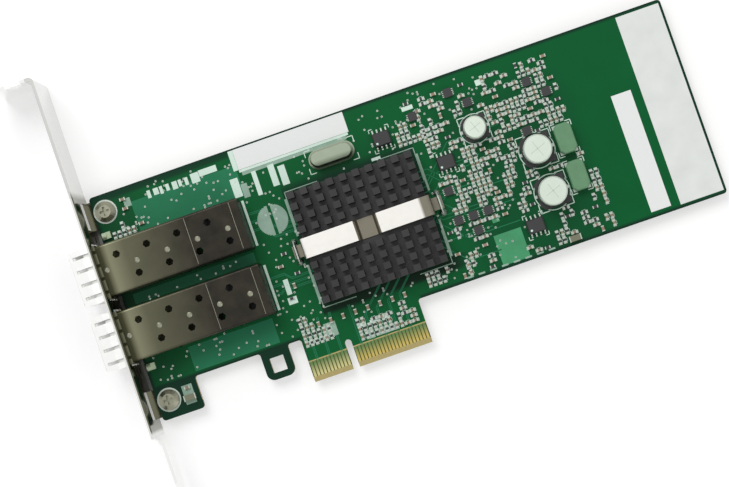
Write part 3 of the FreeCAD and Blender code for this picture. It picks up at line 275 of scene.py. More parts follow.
def masked_board():
    """Green mask on both faces, dark where no copper backs it along the edges and darker in a band by
    the ports, with painted shade towards the bracket end, close round the heat sink with a painted
    shadow right below it and, less so, between the small parts; bare laminate on the cut edges and
    round the contacts."""
    look = bpy.context.scene.card_board
    shader = Shader("board_mask")
    x, y, _ = shader.place()
    low, high = BOARD
    contacts_low, contacts_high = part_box("edge_contacts_front")
    sink_low, sink_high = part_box("heat_sink")
    bare = (y < contacts_high[1] + 0.35 * MM) * (x > TONGUE_LEFT * MM)
    bare = bare.larger(1.0 - shader.facing())
    # the distance in from the board's edge, with the tongue, the hook and the foot below it
    above = y - TONGUE_TOP * MM
    inside = (x - low[0]).smaller(high[0] - x).smaller(high[1] - y)
    inside = inside.smaller(above.larger(x - TONGUE_LEFT * MM))
    inside = inside.smaller(above.larger(contacts_high[0] + 2.0 * MM - x))
    # less copper near the edges, and painted shade that darkens the board over its first 14 mm from the
    # bracket end
    copper = inside.ramp(0.0, 0.4, 1.2) * (0.6 + 0.4 * x.ramp(low[0], 4.0, 14.0))
    # darker places: a painted shadow right below the sink, painted shade round it and, less, between
    # the parts, and a band at the edge by the ports
    right_of_left = x > sink_low[0] - 1.5 * MM
    below = (right_of_left * x.fade(sink_high[0], 1.0, 6.0) * y.ramp(sink_low[1], -3.4, -2.2)
             * (y < sink_low[1] + 1.0 * MM))
    near = (right_of_left * (x < sink_high[0] + 1.0 * MM)
            * y.ramp(sink_low[1], -3.2, -1.6) * y.fade(sink_high[1], 1.0, 3.4)).larger(below)
    ports = (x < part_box("upper_port_cage")[1][0] + 1.0 * MM) * y.ramp(high[1], -2.6, -1.6)
    field = (x.ramp(sink_high[0], 4.0, 12.0) * x.fade(high[0], -38.0, -30.0)
             * y.fade(high[1], -14.0, -4.0))
    # copper here also carries the painted shade
    copper = copper * (1.0 - (0.9 * near).larger(0.8 * ports).larger(0.34 * field))
    mask = mottled(shader, tuple(look.mask), 120.0, 0.10)
    green = shader.mix(copper, tuple(look.no_copper_and_shade), mask)
    # painted shadow right below the sink, darker than bare mask
    green = shader.mix(0.7 * below, green, (0.003, 0.014, 0.006))
    laminate = shader.mix(y.within(contacts_low[1], contacts_high[1]),
                          mottled(shader, tuple(look.laminate), 900.0, 0.12), (0.10, 0.10, 0.03))
    return shader.set(Base_Color=shader.mix(bare, green, laminate), Roughness=0.34 + 0.25 * bare,
                      Normal=shader.bump(shader.noise(2600.0), 0.004), Specular_IOR_Level=0.11)


def bare_metal(shader, rgb, roughness, spread=0.12):
    """Finishes a shader as metal with a fine uneven sheen."""
    return shader.set(Base_Color=rgb, Metallic=1.0,
                      Roughness=roughness + spread * (shader.noise(700.0) - 0.5))


def metal(name, rgb, roughness, grain=0.0, spread=0.06):
    """Plated or bright metal, mottled and, where asked, grained."""
    shader = Shader(name)
    if grain:
        shader.set(Normal=shader.bump(shader.noise(3000.0), grain))
    return bare_metal(shader, mottled(shader, rgb, 90.0, spread), roughness)


def painted_shade_beside_board(shader, rgb):
    """The colour, with a painted dark olive shade and reflection of the board on the metal that faces
    the board's edge from close by, on the edges of its openings and where its ears bend in."""
    x, y, z = shader.place()
    screws_low, screws_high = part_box("bracket_screws")
    low, high = BOARD
    openings = (x > SHEET - 0.4 * MM) * (z < BRACKET[1][2] - 1.0 * MM)
    ears = (y > screws_high[1] - 7.0 * MM).larger(y < screws_low[1] + 7.0 * MM)
    ears = ears * (x > SHEET - 0.6 * MM) * z.within(low[2] - 0.9 * MM, low[2] + 0.3 * MM)
    inner = (x > SHEET).larger(openings).larger(ears)
    beside = inner * y.ramp(low[1], 1.0, 2.0) * y.fade(high[1], 0.0, 2.0)
    # painted dark olive shade and reflection of the board
    return shader.mix(beside, rgb, (0.15, 0.15, 0.10))


def brushed(name, rgb, roughness):
    """Sheet steel with a grain drawn out along Y, with a painted greyer shade above the board and a
    painted pale light at both ends.
    """
    shader = Shader(name)
    x, y, _ = shader.place()
    drawn = shader.node("ShaderNodeMapping", {}, {0: shader.point(), "Scale": (1.0, 0.04, 1.0)})
    lines = shader.noise(2500.0, point=drawn.outputs[0])
    # painted grey shade above the board, and paler painted light on the tab and the tongue at the ends
    above = y > BOARD[1][1]
    ends = (x < TAB_END).larger(y < 0.0)
    sheet = shader.mix(above, mottled(shader, rgb, 60.0, 0.04), PALE_STEEL)
    sheet = shader.mix(ends, sheet, (0.95, 0.95, 0.93))
    return shader.set(Base_Color=painted_shade_beside_board(shader, sheet), Metallic=1.0,
                      Roughness=roughness + 0.06 * (lines - 0.5), Normal=shader.bump(lines, 0.004))


def spring_sheet(name, rgb, roughness):
    """Bright spring alloy, with painted shade where it bends in beside the board."""
    shader = Shader(name)
    return bare_metal(shader, painted_shade_beside_board(shader, rgb), roughness)


def cage_with_painted_light():
    """Plated sheet, pale steel in the mouth, then painted light: a painted shadow of the bracket just
    inside it, a pale painted highlight band, khaki and, towards the rear, a dark blotchy painted
    reflection."""
    shader = Shader("cage_sheet")
    x, _, _ = shader.place()
    # a painted shadow of the bracket just past the mouth, then a pale painted highlight band that fades
    # to khaki
    inside = x.ramp(CAGE_MOUTH, 2.2, 4.0)
    sheet = shader.mix(inside, (0.055, 0.055, 0.028), (0.225, 0.225, 0.145))
    sheet = shader.mix(x.ramp(CAGE_MOUTH, 4.6, 9.0), sheet, (0.135, 0.135, 0.085))
    # towards the rear, a dark blotchy painted reflection
    blotch = shader.mix(shader.noise(260.0, 3.0), (0.010, 0.010, 0.008), (0.050, 0.044, 0.034))
    rear = x.ramp(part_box("upper_port_cage")[0][0], 6.0, 34.0)
    sheet = shader.mix(rear, sheet, blotch)
    sheet = shader.mix(x < CAGE_MOUTH, sheet, PALE_STEEL)
    return shader.set(Base_Color=sheet, Metallic=0.8,
                      Roughness=0.30 + 0.2 * shader.noise(500.0), Specular_IOR_Level=0.2)


def pressed_clip():
    """Spring steel, bright where it lies high, with a brown-grey painted shade where it is pressed or
    bent down.
    """
    shader = Shader("clip_sheet")
    x, _, z = shader.place()
    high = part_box("spring_clip")[1][2]
    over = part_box("heat_sink")[1][0]
    # painted brown-grey shade in the pressed dip and at the end bent down past the heat sink
    raised = z.ramp(high, -1.4, -0.7) * x.fade(over, -2.6, -1.8)
    return bare_metal(shader, shader.mix(raised, (0.20, 0.185, 0.145), (0.78, 0.76, 0.72)), 0.35, 0.1)


def contact_plating():
    """Gold, greener towards the contacts' upper ends and warmer on the longer block."""
    shader = Shader("contact_gold")
    x, y, _ = shader.place()
    low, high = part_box("edge_contacts_front")
    upper = y.ramp(low[1], 0.6, (high[1] - low[1]) / MM - 0.6)
    plated = shader.mix(x > 0.0, (0.58, 0.54, 0.25), (0.56, 0.44, 0.13))
    return bare_metal(shader, shader.mix(upper, plated, (0.13, 0.23, 0.09)), 0.30)


def crystal_case():
    """Drawn metal with painted light: bright above and painted shade along the lower side."""
    shader = Shader("crystal_case")
    _, y, _ = shader.place()
    lit = y.ramp(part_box("crystal_can")[0][1], 0.6, 2.4)
    return bare_metal(shader, shader.mix(lit, (0.07, 0.09, 0.06), (0.29, 0.335, 0.255)), 0.36)


def label_stock():
    """Blank paper, a shade greyer and less even on the large label at the far end."""
    shader = Shader("label_paper")
    x, _, _ = shader.place()
    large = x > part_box("end_label")[0][0] - 1.0 * MM
    grey = mottled(shader, (0.75, 0.775, 0.75), 170.0, 0.10)
    return shader.set(Base_Color=shader.mix(large, (0.81, 0.83, 0.815), grey), Roughness=0.7,
                      Normal=shader.bump(shader.noise(4200.0), 0.006))


def plain(name, rgb, roughness, grain=0.0, spread=0.08, scale=300.0, **more):
    """Moulded, sintered or printed stuff, with no metal in it."""
    shader = Shader(name)
    if grain:
        shader.set(Normal=shader.bump(shader.noise(4200.0), grain))
    return shader.set(Base_Color=mottled(shader, rgb, scale, spread), Roughness=roughness, **more)


def make_finishes():
    """The materials that only the fine pieces use, and then one for each of the record's slots."""
    look = bpy.context.scene.card_board
    plain("mask_over_copper", tuple(look.pour), 0.36, 0.0, 0.12, 160.0, Specular_IOR_Level=0.14)
    plain("spare_patch", (0.035, 0.27, 0.11), 0.4, spread=0.2)
    plain("legend_print", tuple(look.legend), 0.6, spread=0.05)
    plain("legend_worn", tuple(look.worn), 0.6, spread=0.25)
    metal("can_vent", (0.42, 0.46, 0.41), 0.5)
    metal("dimple_metal", (0.26, 0.26, 0.20), 0.34)
    return {
        "board": masked_board(),
        "gold": contact_plating(),
        "bracket_steel": brushed("bracket_sheet", (0.82, 0.82, 0.79), 0.10),
        "screw_steel": metal("screw_plating", (0.29, 0.29, 0.22), 0.36),
        "cage_metal": cage_with_painted_light(),
        "spring_metal": spring_sheet("spring_alloy", (0.94, 0.94, 0.92), 0.30),
        "connector_black": plain("connector_moulding", (0.012, 0.012, 0.013), 0.5, 0.01),
        "tinned": metal("solder_tin", (0.44, 0.49, 0.44), 0.38, 0.01),
        "package_substrate": plain("package_substrate", (0.01, 0.12, 0.05), 0.4),
        "package_cap": plain("package_cap", (0.02, 0.02, 0.022), 0.5, 0.01),
        "pad_grey": plain("thermal_pad", (0.30, 0.30, 0.31), 0.8),
        "anodised_black": metal("black_anodising", (0.047, 0.046, 0.046), 0.42, 0.012, 0.25),
        "clip_steel": pressed_clip(),
        "can_aluminium": metal("can_aluminium", (0.56, 0.63, 0.55), 0.42),
        "crystal_metal": crystal_case(),
        "chip_black": plain("chip_moulding", (0.022, 0.022, 0.024), 0.55, 0.012),
        "ferrite": plain("choke_ferrite", (0.115, 0.26, 0.135), 0.6, 0.02, 0.2),
        "light_lens": plain("lens", (0.60, 0.72, 0.50), 0.2),
        "ceramic_tan": plain("capacitor_ceramic", (0.26, 0.19, 0.12), 0.45, 0.0, 0.2),
        "resistor_black": plain("resistor_glaze", (0.025, 0.025, 0.028), 0.35),
        "tantalum": plain("bulk_moulding", (0.17, 0.17, 0.11), 0.5),
        "label_paper": label_stock(),
    }


# ---- surfaces
CORNERS = np.array([[x, y, z] for z in (-0.5, 0.5) for y in (-0.5, 0.5) for x in (-0.5, 0.5)])
BOX_SIDES = np.array([[0, 2, 3, 1], [4, 5, 7, 6], [0, 1, 5, 4],
                      [2, 6, 7, 3], [0, 4, 6, 2], [1, 3, 7, 5]])


def boxes(centres, sizes):
    """Each box: its eight corners are the centre plus half its size, with either sign on each axis."""
    centres = np.atleast_2d(centres)
    sizes = np.broadcast_to(np.atleast_2d(sizes), centres.shape)
    points = centres[:, None] + CORNERS * sizes[:, None]
    faces = BOX_SIDES + 8 * np.arange(len(centres))[:, None, None]
    return points.reshape(-1, 3), [faces.reshape(-1, 4)]


def at_level(points, level):
    """Flat points lifted to one level, or each to its own."""
    return np.column_stack([points, np.broadcast_to(level, len(points))])


def slabs(rectangles, low, high):
    """A flat plate over each rectangle, between two heights."""
    r = np.atleast_2d(np.asarray(rectangles, float))
    first, last = r[:, [LEFT, LOW]], r[:, [RIGHT, HIGH]]
    return boxes(at_level((first + last) / 2, (low + high) / 2), at_level(last - first, high - low))


def ladder(rows, columns, rows_close, columns_close):
    """Quads between neighbours in rows of points, where the last row or column can meet the first."""
    i, k = np.meshgrid(np.arange(rows - 1 + rows_close), np.arange(columns - 1 + columns_close),
                       indexing="ij")
    j, after = (i + 1) % rows, (k + 1) % columns
    quads = [columns * i + k, columns * j + k, columns * j + after, columns * i + after]
    return np.stack(quads, -1).reshape(-1, 4)


def turned_round(centres, profile, sides, solid):
    """Each piece: a profile of (radius, height) points turned round Z at the piece's centre, so that
    a point lies at the centre plus its radius times the cosine and sine of the turn. A solid one is
    closed by a flat face at each end, and any other by its own profile."""
    centres = np.atleast_2d(np.asarray(centres, float))[:, :2]
    radius, level = np.array(profile, float).T[:, :, None]
    turn = 2 * np.pi * np.arange(sides) / sides
    circle = np.stack([np.cos(turn), np.sin(turn)], 1)
    flat = centres[:, None, None] + circle[:, None] * radius
    points = np.concatenate([flat, np.broadcast_to(level, (*flat.shape[:3], 1))], 3)
    before = sides * len(level) * np.arange(len(centres))[:, None]
    quads = ladder(sides, len(level), True, not solid).ravel()
    faces = [(quads + before).reshape(-1, 4)]
    if solid:
        first = len(level) * np.arange(sides)
        faces.append(np.concatenate([first[::-1] + before, first + len(level) - 1 + before]))
    return points.reshape(-1, 3), faces


def frusta(centres, low_radius, high_radius, low, high, sides):
    """Each frustum: two circles of points about its centre, at the low and the high level."""
    return turned_round(centres, [(low_radius, low), (high_radius, high)], sides, True)


def rings(centres, inner, outer, low, high, sides):
    """Each ring: a rectangle of four corners, between two radii and two heights, turned round Z."""
    corners = [(outer, low), (outer, high), (inner, high), (inner, low)]
    return turned_round(centres, corners, sides, False)


def strip(path, width, low, high):
    """A rectangle carried along a flat path: at each point it stands across the mean of the two runs'
    directions, widened by one over the cosine of half the turn, so that its width stays even."""
    path = np.asarray(path, float)
    run = np.diff(path, axis=0)
    run /= np.linalg.norm(run, axis=1)[:, None]
    side = np.stack([-run[:, 1], run[:, 0]], 1)
    first, second = np.vstack([side[:1], side]), np.vstack([side, side[-1:]])
    across = (first + second) / (1 + (first * second).sum(1))[:, None] * width / 2
    stations = [at_level(path + sign * across, level)
                for sign, level in ((-1, low), (-1, high), (1, high), (1, low))]
    last = 4 * (len(path) - 1)
    ends = np.array([[0, 1, 2, 3], [last, last + 3, last + 2, last + 1]])
    faces = np.concatenate([ladder(len(path), 4, False, True), ends])
    return np.stack(stations, 1).reshape(-1, 3), [faces]


def levels(tall, back=False):
    """The two heights of a plate that lies on the board's face or against its back."""
    return (-BOARD_THICK - tall, -BOARD_THICK) if back else (0.0, tall)


def joined(parts):
    """Several surfaces as one, with each one's faces counted on from the points before it."""
    points, faces, count = [], [], 0
    for some, groups in parts:
        points.append(some)
        faces += [group + count for group in groups]
        count += len(some)
    return np.concatenate(points), faces


def make_mesh(name, surface):
    """A mesh from a surface in millimetres, which has to hold together."""
    points, groups = surface
    mesh = bpy.data.meshes.new(name)
    corners = np.concatenate([group.ravel() for group in groups])
    counts = np.concatenate([np.full(len(group), group.shape[1]) for group in groups])
    starts = np.concatenate([[0], np.cumsum(counts)[:-1]])
    mesh.vertices.add(len(points))
    mesh.vertices.foreach_set("co", (points * MM).ravel())
    mesh.loops.add(len(corners))
    mesh.loops.foreach_set("vertex_index", corners.astype(np.int32))
    mesh.polygons.add(len(starts))
    mesh.polygons.foreach_set("loop_start", starts.astype(np.int32))
    mesh.update(calc_edges=True)
    mesh.shade_flat()
    if mesh.validate():
        raise ValueError(f"{name} had faces that did not hold together")
    return mesh


def stand(name, data):
    """A new object in the scene, at the origin."""
    made = bpy.data.objects.new(name, data)
    bpy.context.scene.collection.objects.link(made)
    return made


def add_piece(name, surface, finish):
    """Puts a surface into a mesh of that name, riding on the root body."""
    piece = stand(name, make_mesh(name, surface))
    piece.data.materials.append(bpy.data.materials[finish])
    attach(piece, "root")


# ---- places read from the frame
def node_box(name):
    """A node's box in millimetres: two corners."""
    low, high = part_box(name)
    return np.array(low) / MM, np.array(high) / MM


def node_triangles(name):
    """The corners of a node's triangles, in millimetres."""
    mesh = frame["nodes"][name].data
    points = np.empty(3 * len(mesh.vertices))
    mesh.vertices.foreach_get("co", points)
    mesh.calc_loop_triangles()
    corners = np.empty(3 * len(mesh.loop_triangles), np.int64)
    mesh.loop_triangles.foreach_get("vertices", corners)
    return points.reshape(-1, 3)[corners.reshape(-1, 3)] / MM


class Ground:
    """Which cells of the board's face, or of its back, the other nodes take. It adds up the boxes of
    their triangles."""

    CELL = 0.2
    # Which end of a box each of its corners takes in x and in y, and its sign in a table of sums
    CORNER_SIGNS = ((0, 0, 1), (0, 1, -1), (1, 0, -1), (1, 1, 1))

    def __init__(self, back=False):
        low, high = node_box("circuit_board")
        self.low = low[:2]
        self.shape = np.ceil((high - low)[:2] / self.CELL).astype(int) + 1
        marks = np.zeros(self.shape + 1)
        for name in frame["nodes"]:
            flat = node_triangles(name)
            flat = flat[flat[:, :, 2].min(1) < -BOARD_THICK + 0.01] if back else flat
            if name == "circuit_board" or not len(flat):
                continue
            ends = self.cells(flat[:, :, :2].min(1), flat[:, :, :2].max(1))
            for a, b, sign in self.CORNER_SIGNS:
                np.add.at(marks, (ends[a][:, 0], ends[b][:, 1]), sign)
        taken = marks.cumsum(0).cumsum(1) > 0.5
        self.total = np.pad(taken.cumsum(0).cumsum(1), ((1, 0), (1, 0)))

    def cells(self, low, high):
        """The first cell of each box and the one after its last."""
        first = np.clip(np.floor((low - self.low) / self.CELL).astype(int), 0, self.shape)
        last = np.clip(np.ceil((high - self.low) / self.CELL).astype(int), 0, self.shape)
        return first, last

    def free(self, rectangles):
        """True for each rectangle with no taken cell in it."""
        ends = self.cells(rectangles[:, [LEFT, LOW]], rectangles[:, [RIGHT, HIGH]])
        return sum(sign * self.total[ends[a][:, 0], ends[b][:, 1]]
                   for a, b, sign in self.CORNER_SIGNS) < 1


def leg_tips(name):
    """The middle of each leg that a node puts through the board."""
    points = node_triangles(name).reshape(-1, 3)
    lowest = points[points[:, 2] < points[:, 2].min() + 0.05][:, :2]
    found = []
    for point in lowest:
        if all(np.abs(point - other).max() > 1.5 for other in found):
            found.append(point)
    return np.array([lowest[np.abs(lowest - point).max(1) < 1.5].mean(0) for point in found])


def around(points, half):
    """The rectangle about each point that reaches half its sides, as (x, y), to either side."""
    low, high = points[:, :2] - half, points[:, :2] + half
    return np.stack([low[:, 0], high[:, 0], low[:, 1], high[:, 1]], 1)


def in_area(points, area):
    """True for each point within the rectangle."""
    x, y = points[:, 0], points[:, 1]
    return (x > area[LEFT]) & (x < area[RIGHT]) & (y > area[LOW]) & (y < area[HIGH])


def node_area(name, wider, taller):
    """The rectangle that a node covers, grown on every side."""
    low, high = node_box(name)
    return low[0] - wider, high[0] + wider, low[1] - taller, high[1] + taller


def laid(turned, along, across):
    """Each part's two measures as x and y, with the turned parts along Y."""
    return np.where(turned[:, None], [[across, along]], [[along, across]])


def corner_lines(left, right, low, high, width, reach):
    """Eight short rectangles that mark the corners of a larger one."""
    half, found = width / 2, []
    for x, step in ((left, reach), (right, -reach)):
        for y, rise in ((low, reach), (high, -reach)):
            found += [(*sorted((x, x + step)), y - half, y + half),
                      (x - half, x + half, *sorted((y, y + rise)))]
    return found


# ---- operators
class CARD_OT_finishes(bpy.types.Operator):
    """Gives every node of the frame the finish of its slot"""

    bl_idname = "card.finishes"
    bl_label = "Finishes"

    def execute(self, context):
        finishes = make_finishes()
        for part in frame["record"]["subparts"]:
            node = frame["nodes"][part["node"]]
            for slot in node.material_slots:
                slot.material = finishes[part["material_slot"]]
        return {"FINISHED"}


class CARD_OT_copper(bpy.types.Operator):
    """Adds the copper pours and the signal tracks, raised under the mask, the screws' bare lands and
    the paler patches of the spare places"""

    bl_idname = "card.copper"
    bl_label = "Pours and tracks"

    def execute(self, context):
        look = context.scene.card_board
        width, rise = look.track_width / MM, look.track_height / MM
        board_low, board_high = node_box("circuit_board")
        cage_low, cage_high = node_box("lower_port_cage")
        upper_low, upper_high = node_box("upper_port_cage")
        pours = [(board_low[0] + 11, cage_high[0] + 2, upper_high[1] + 0.8, board_high[1] - 4.7),
                 (board_low[0] + 13, cage_high[0] - 2, 13.6, cage_low[1] - 0.8),
                 (cage_low[0] + 12, cage_high[0] - 1, cage_high[1] + 0.8, upper_low[1] - 0.8)]
        add_piece("copper_pours", slabs(pours, *levels(rise / 2)), "mask_over_copper")
        screw_low, screw_high = node_box("bracket_screws")
        head = (screw_high[0] - screw_low[0]) / 2
        places = [(screw_low[0] + head, y) for y in (screw_low[1] + head, screw_high[1] - head)]
        lands = rings(places, head + 0.05, head + 0.5, *levels(0.04), 40)
        add_piece("screw_lands", lands, "solder_tin")

        tracks = self.contact_tracks() + self.port_tracks() + self.field_tracks()
        for side, chosen in (("front", tracks), ("back", tracks[::2])):
            paths = [strip(path, width, *levels(rise, side == "back")) for path in chosen]
            add_piece("tracks_" + side, joined(paths), "mask_over_copper")
        add_piece("bare_pour", slabs(SPARE_PLACES, *levels(rise)), "spare_patch")
        return {"FINISHED"}

    @staticmethod
    def contact_tracks():
        """Pairs up from the contacts, with a slant where there is room, to the controller's side."""
        chip_low, _ = node_box("controller_base")
        contacts = node_box("edge_contacts_front")[1][1] + 0.1
        tracks = []
        for i in range(8):
            start = -9.5 + 3.6 * i + (2.2 if i > 2 else 0.0)
            end = chip_low[0] + 3.0 + 2.6 * i
            middle = 16.6 + 0.25 * i
            slope = abs(end - start)
            for shift in PAIR:
                path = [(start + shift, contacts), (start + shift, middle)]
                if middle + slope / 2 < chip_low[1] and slope > 0.1:
                    path[1:] = [(start + shift, middle - slope / 2), (end + shift, middle + slope / 2),
                                (end + shift, chip_low[1] + 0.5)]
                tracks.append(path)
        return tracks

    @staticmethod
    def port_tracks():
        """Three pairs from the inner end of each cage to the controller's side."""
        chip_low, chip_high = node_box("controller_base")
        tracks = []
        for cage, goal in zip(CAGES, (chip_high[1] - 6, chip_low[1] + 6)):
            low, high = node_box(cage)
            for pair in range(3):
                for shift in PAIR:
                    start = (low[1] + high[1]) / 2 + 2.4 * (pair - 1) + shift
                    end = goal + 1.3 * (pair - 1) + shift
                    turn = high[0] + 3.0 + 1.1 * pair
                    after = turn + abs(end - start)
                    tracks.append([(high[0] + 0.3, start), (turn, start), (after, end),
                                   (max(after + 0.3, chip_low[0] + 0.5), end)])
        return tracks

    @staticmethod
    def field_tracks():
        """Single tracks from the controller's far side, spread over the power field."""
        chip_low, chip_high = node_box("controller_base")
        tracks = []
        for i in range(14):
            start = chip_low[1] + 4.0 + 1.5 * i
            end = start + 5.5 * ((i % 4) - 1.5)
            turn = chip_high[0] + 2.0 + 0.4 * i
            after = turn + abs(end - start)
            tracks.append([(chip_high[0] - 1.0, start), (turn, start), (after, end),
                           (after + 9.0 + (i * 5) % 7, end)])
        return tracks


class CARD_OT_vias(bpy.types.Operator):
    """Adds plated holes on both faces, wherever the board is free"""

    bl_idname = "card.vias"
    bl_label = "Plated holes"

    def execute(self, context):
        rng = np.random.default_rng(context.scene.card_parts.seed)
        low, high = node_box("circuit_board")
        spots = np.column_stack([rng.uniform(low[0] + 2, high[0] - 16, 900),
                                 rng.uniform(13.6, high[1] - 1.5, 900)])
        spots = np.unique(np.round(spots / HOLE_GRID) * HOLE_GRID, axis=0)
        for side, most in (("front", 330), ("back", 420)):
            back = side == "back"
            chosen = spots[Ground(back).free(around(spots, 0.4))][:most]
            plated = rings(chosen, 0.14, 0.29, *levels(0.035, back), 8)
            add_piece("plated_holes_" + side, plated, "solder_tin")
            dots = frusta(chosen, 0.14, 0.14, *levels(0.02, back), 8)
            add_piece("hole_dots_" + side, dots, "connector_moulding")
        return {"FINISHED"}


def part_blocks(sizes, area):
    """Blocks of small parts over an area: middles, whether turned, and kinds, in a fixed mixed order.
    A block holds six parts in rows or in columns, or one small square chip with two parts beside it."""
    rng = np.random.default_rng(sizes.seed)
    side = sizes.block / MM
    across, along = side / 2, side / 3
    parts, chips = [], []
    for i in range(max(1, round((area[RIGHT] - area[LEFT]) / side))):
        for j in range(max(1, round((area[HIGH] - area[LOW]) / side))):
            x, y = area[LEFT] + (i + 0.5) * side, area[LOW] + (j + 0.5) * side
            kind = rng.integers(0, 8)
            if kind == 0:
                chips.append((x, y + 0.6))
                parts += [(x - across / 2, y - 1.6, 0, 1), (x + across / 2, y - 1.6, 0, 0)]
                continue
            turned = int(kind) % 2
            for a in range(2):
                for b in range(3):
                    if rng.random() < 0.12:
                        continue
                    step = ((a - 0.5) * across, (b - 1) * along)[::-1 if turned else 1]
                    parts.append((x + step[0], y + step[1], turned, int(rng.random() < 0.52)))
    return np.array(parts, float).reshape(-1, 4), np.array(chips, float).reshape(-1, 2)


class CARD_OT_fine_parts(bpy.types.Operator):
    """Fills the power field and its edges with small chip parts, their pads and their marks"""

    bl_idname = "card.fine_parts"
    bl_label = "Small chip parts"

    def execute(self, context):
        sizes = context.scene.card_parts
        long, wide, tall = sizes.part_length / MM, sizes.part_width / MM, sizes.part_height / MM
        margin = sizes.pad_margin / MM
        end = 0.28 * long
        ground = Ground()
        blocks = [part_blocks(sizes, area) for area in PART_FIELDS]
        parts, chips = (np.concatenate(some) for some in zip(*blocks))
        keep = ground.free(around(parts, laid(parts[:, 2] > 0.5, long / 2 + margin, wide / 2 + 0.1)))
        mixed = np.sin(parts[:, 0] * 9.7 + parts[:, 1] * 5.3)
        for least, area in THINNED:
            keep &= ~((mixed > least) & in_area(parts, area))
        parts = parts[keep]
        spots, turned, dark = parts[:, :2], parts[:, 2] > 0.5, parts[:, 3] > 0.5
        heights = np.where(dark, 0.62 * tall, tall)

        inner = laid(turned, long - 2 * end, wide - 0.06)
        for name, kind, finish in (("fine_capacitors", ~dark, "capacitor_ceramic"),
                                   ("fine_resistors", dark, "resistor_glaze")):
            bodies = boxes(at_level(spots, heights / 2)[kind], at_level(inner, heights - 0.06)[kind])
            add_piece(name, bodies, finish)
        caps, pads = laid(turned, end, wide), laid(turned, end + margin, wide + 0.16)
        ends, feet = [], []
        for sign in (-1, 1):
            out = (long - end) / 2
            middle = spots + laid(turned, sign * out, 0.0)
            ends.append(boxes(at_level(middle, heights / 2), at_level(caps, heights)))
            middle = spots + laid(turned, sign * (out + margin / 2), 0.0)
            feet.append(boxes(at_level(middle, 0.03), at_level(pads, 0.06)))
        add_piece("fine_terminals", joined(ends), "solder_tin")
        add_piece("fine_pads", joined(feet), "solder_tin")

        # printed dashes beside the parts, three short bars to each
        bars = [around(spots + laid(turned, step, wide / 2 + 0.26), laid(turned, 0.12, 0.08))
                for step in (-0.42, 0.0, 0.38)]
        bars = np.concatenate(bars)
        bars = bars[ground.free(bars)]
        rise = context.scene.card_board.legend_height / MM
        add_piece("part_marks", slabs(bars, *levels(rise)), "legend_print")

        # small square chips with a row of leads on two sides
        keep = ground.free(around(chips, [1.7, 1.3]))
        for area in NO_CHIPS:
            keep &= ~in_area(chips, area)
        chips = chips[keep]
        square = 2.4
        bodies = boxes(at_level(chips, 0.45), [[square, square, 0.7]])
        add_piece("fine_chips", bodies, "chip_moulding")
        tails = [boxes(at_level(chips + [sign * (square / 2 + 0.18), step], 0.08), [[0.5, 0.24, 0.16]])
                 for sign in (-1, 1) for step in (-0.75, -0.25, 0.25, 0.75)]
        add_piece("fine_chip_leads", joined(tails), "solder_tin")
        return {"FINISHED"}


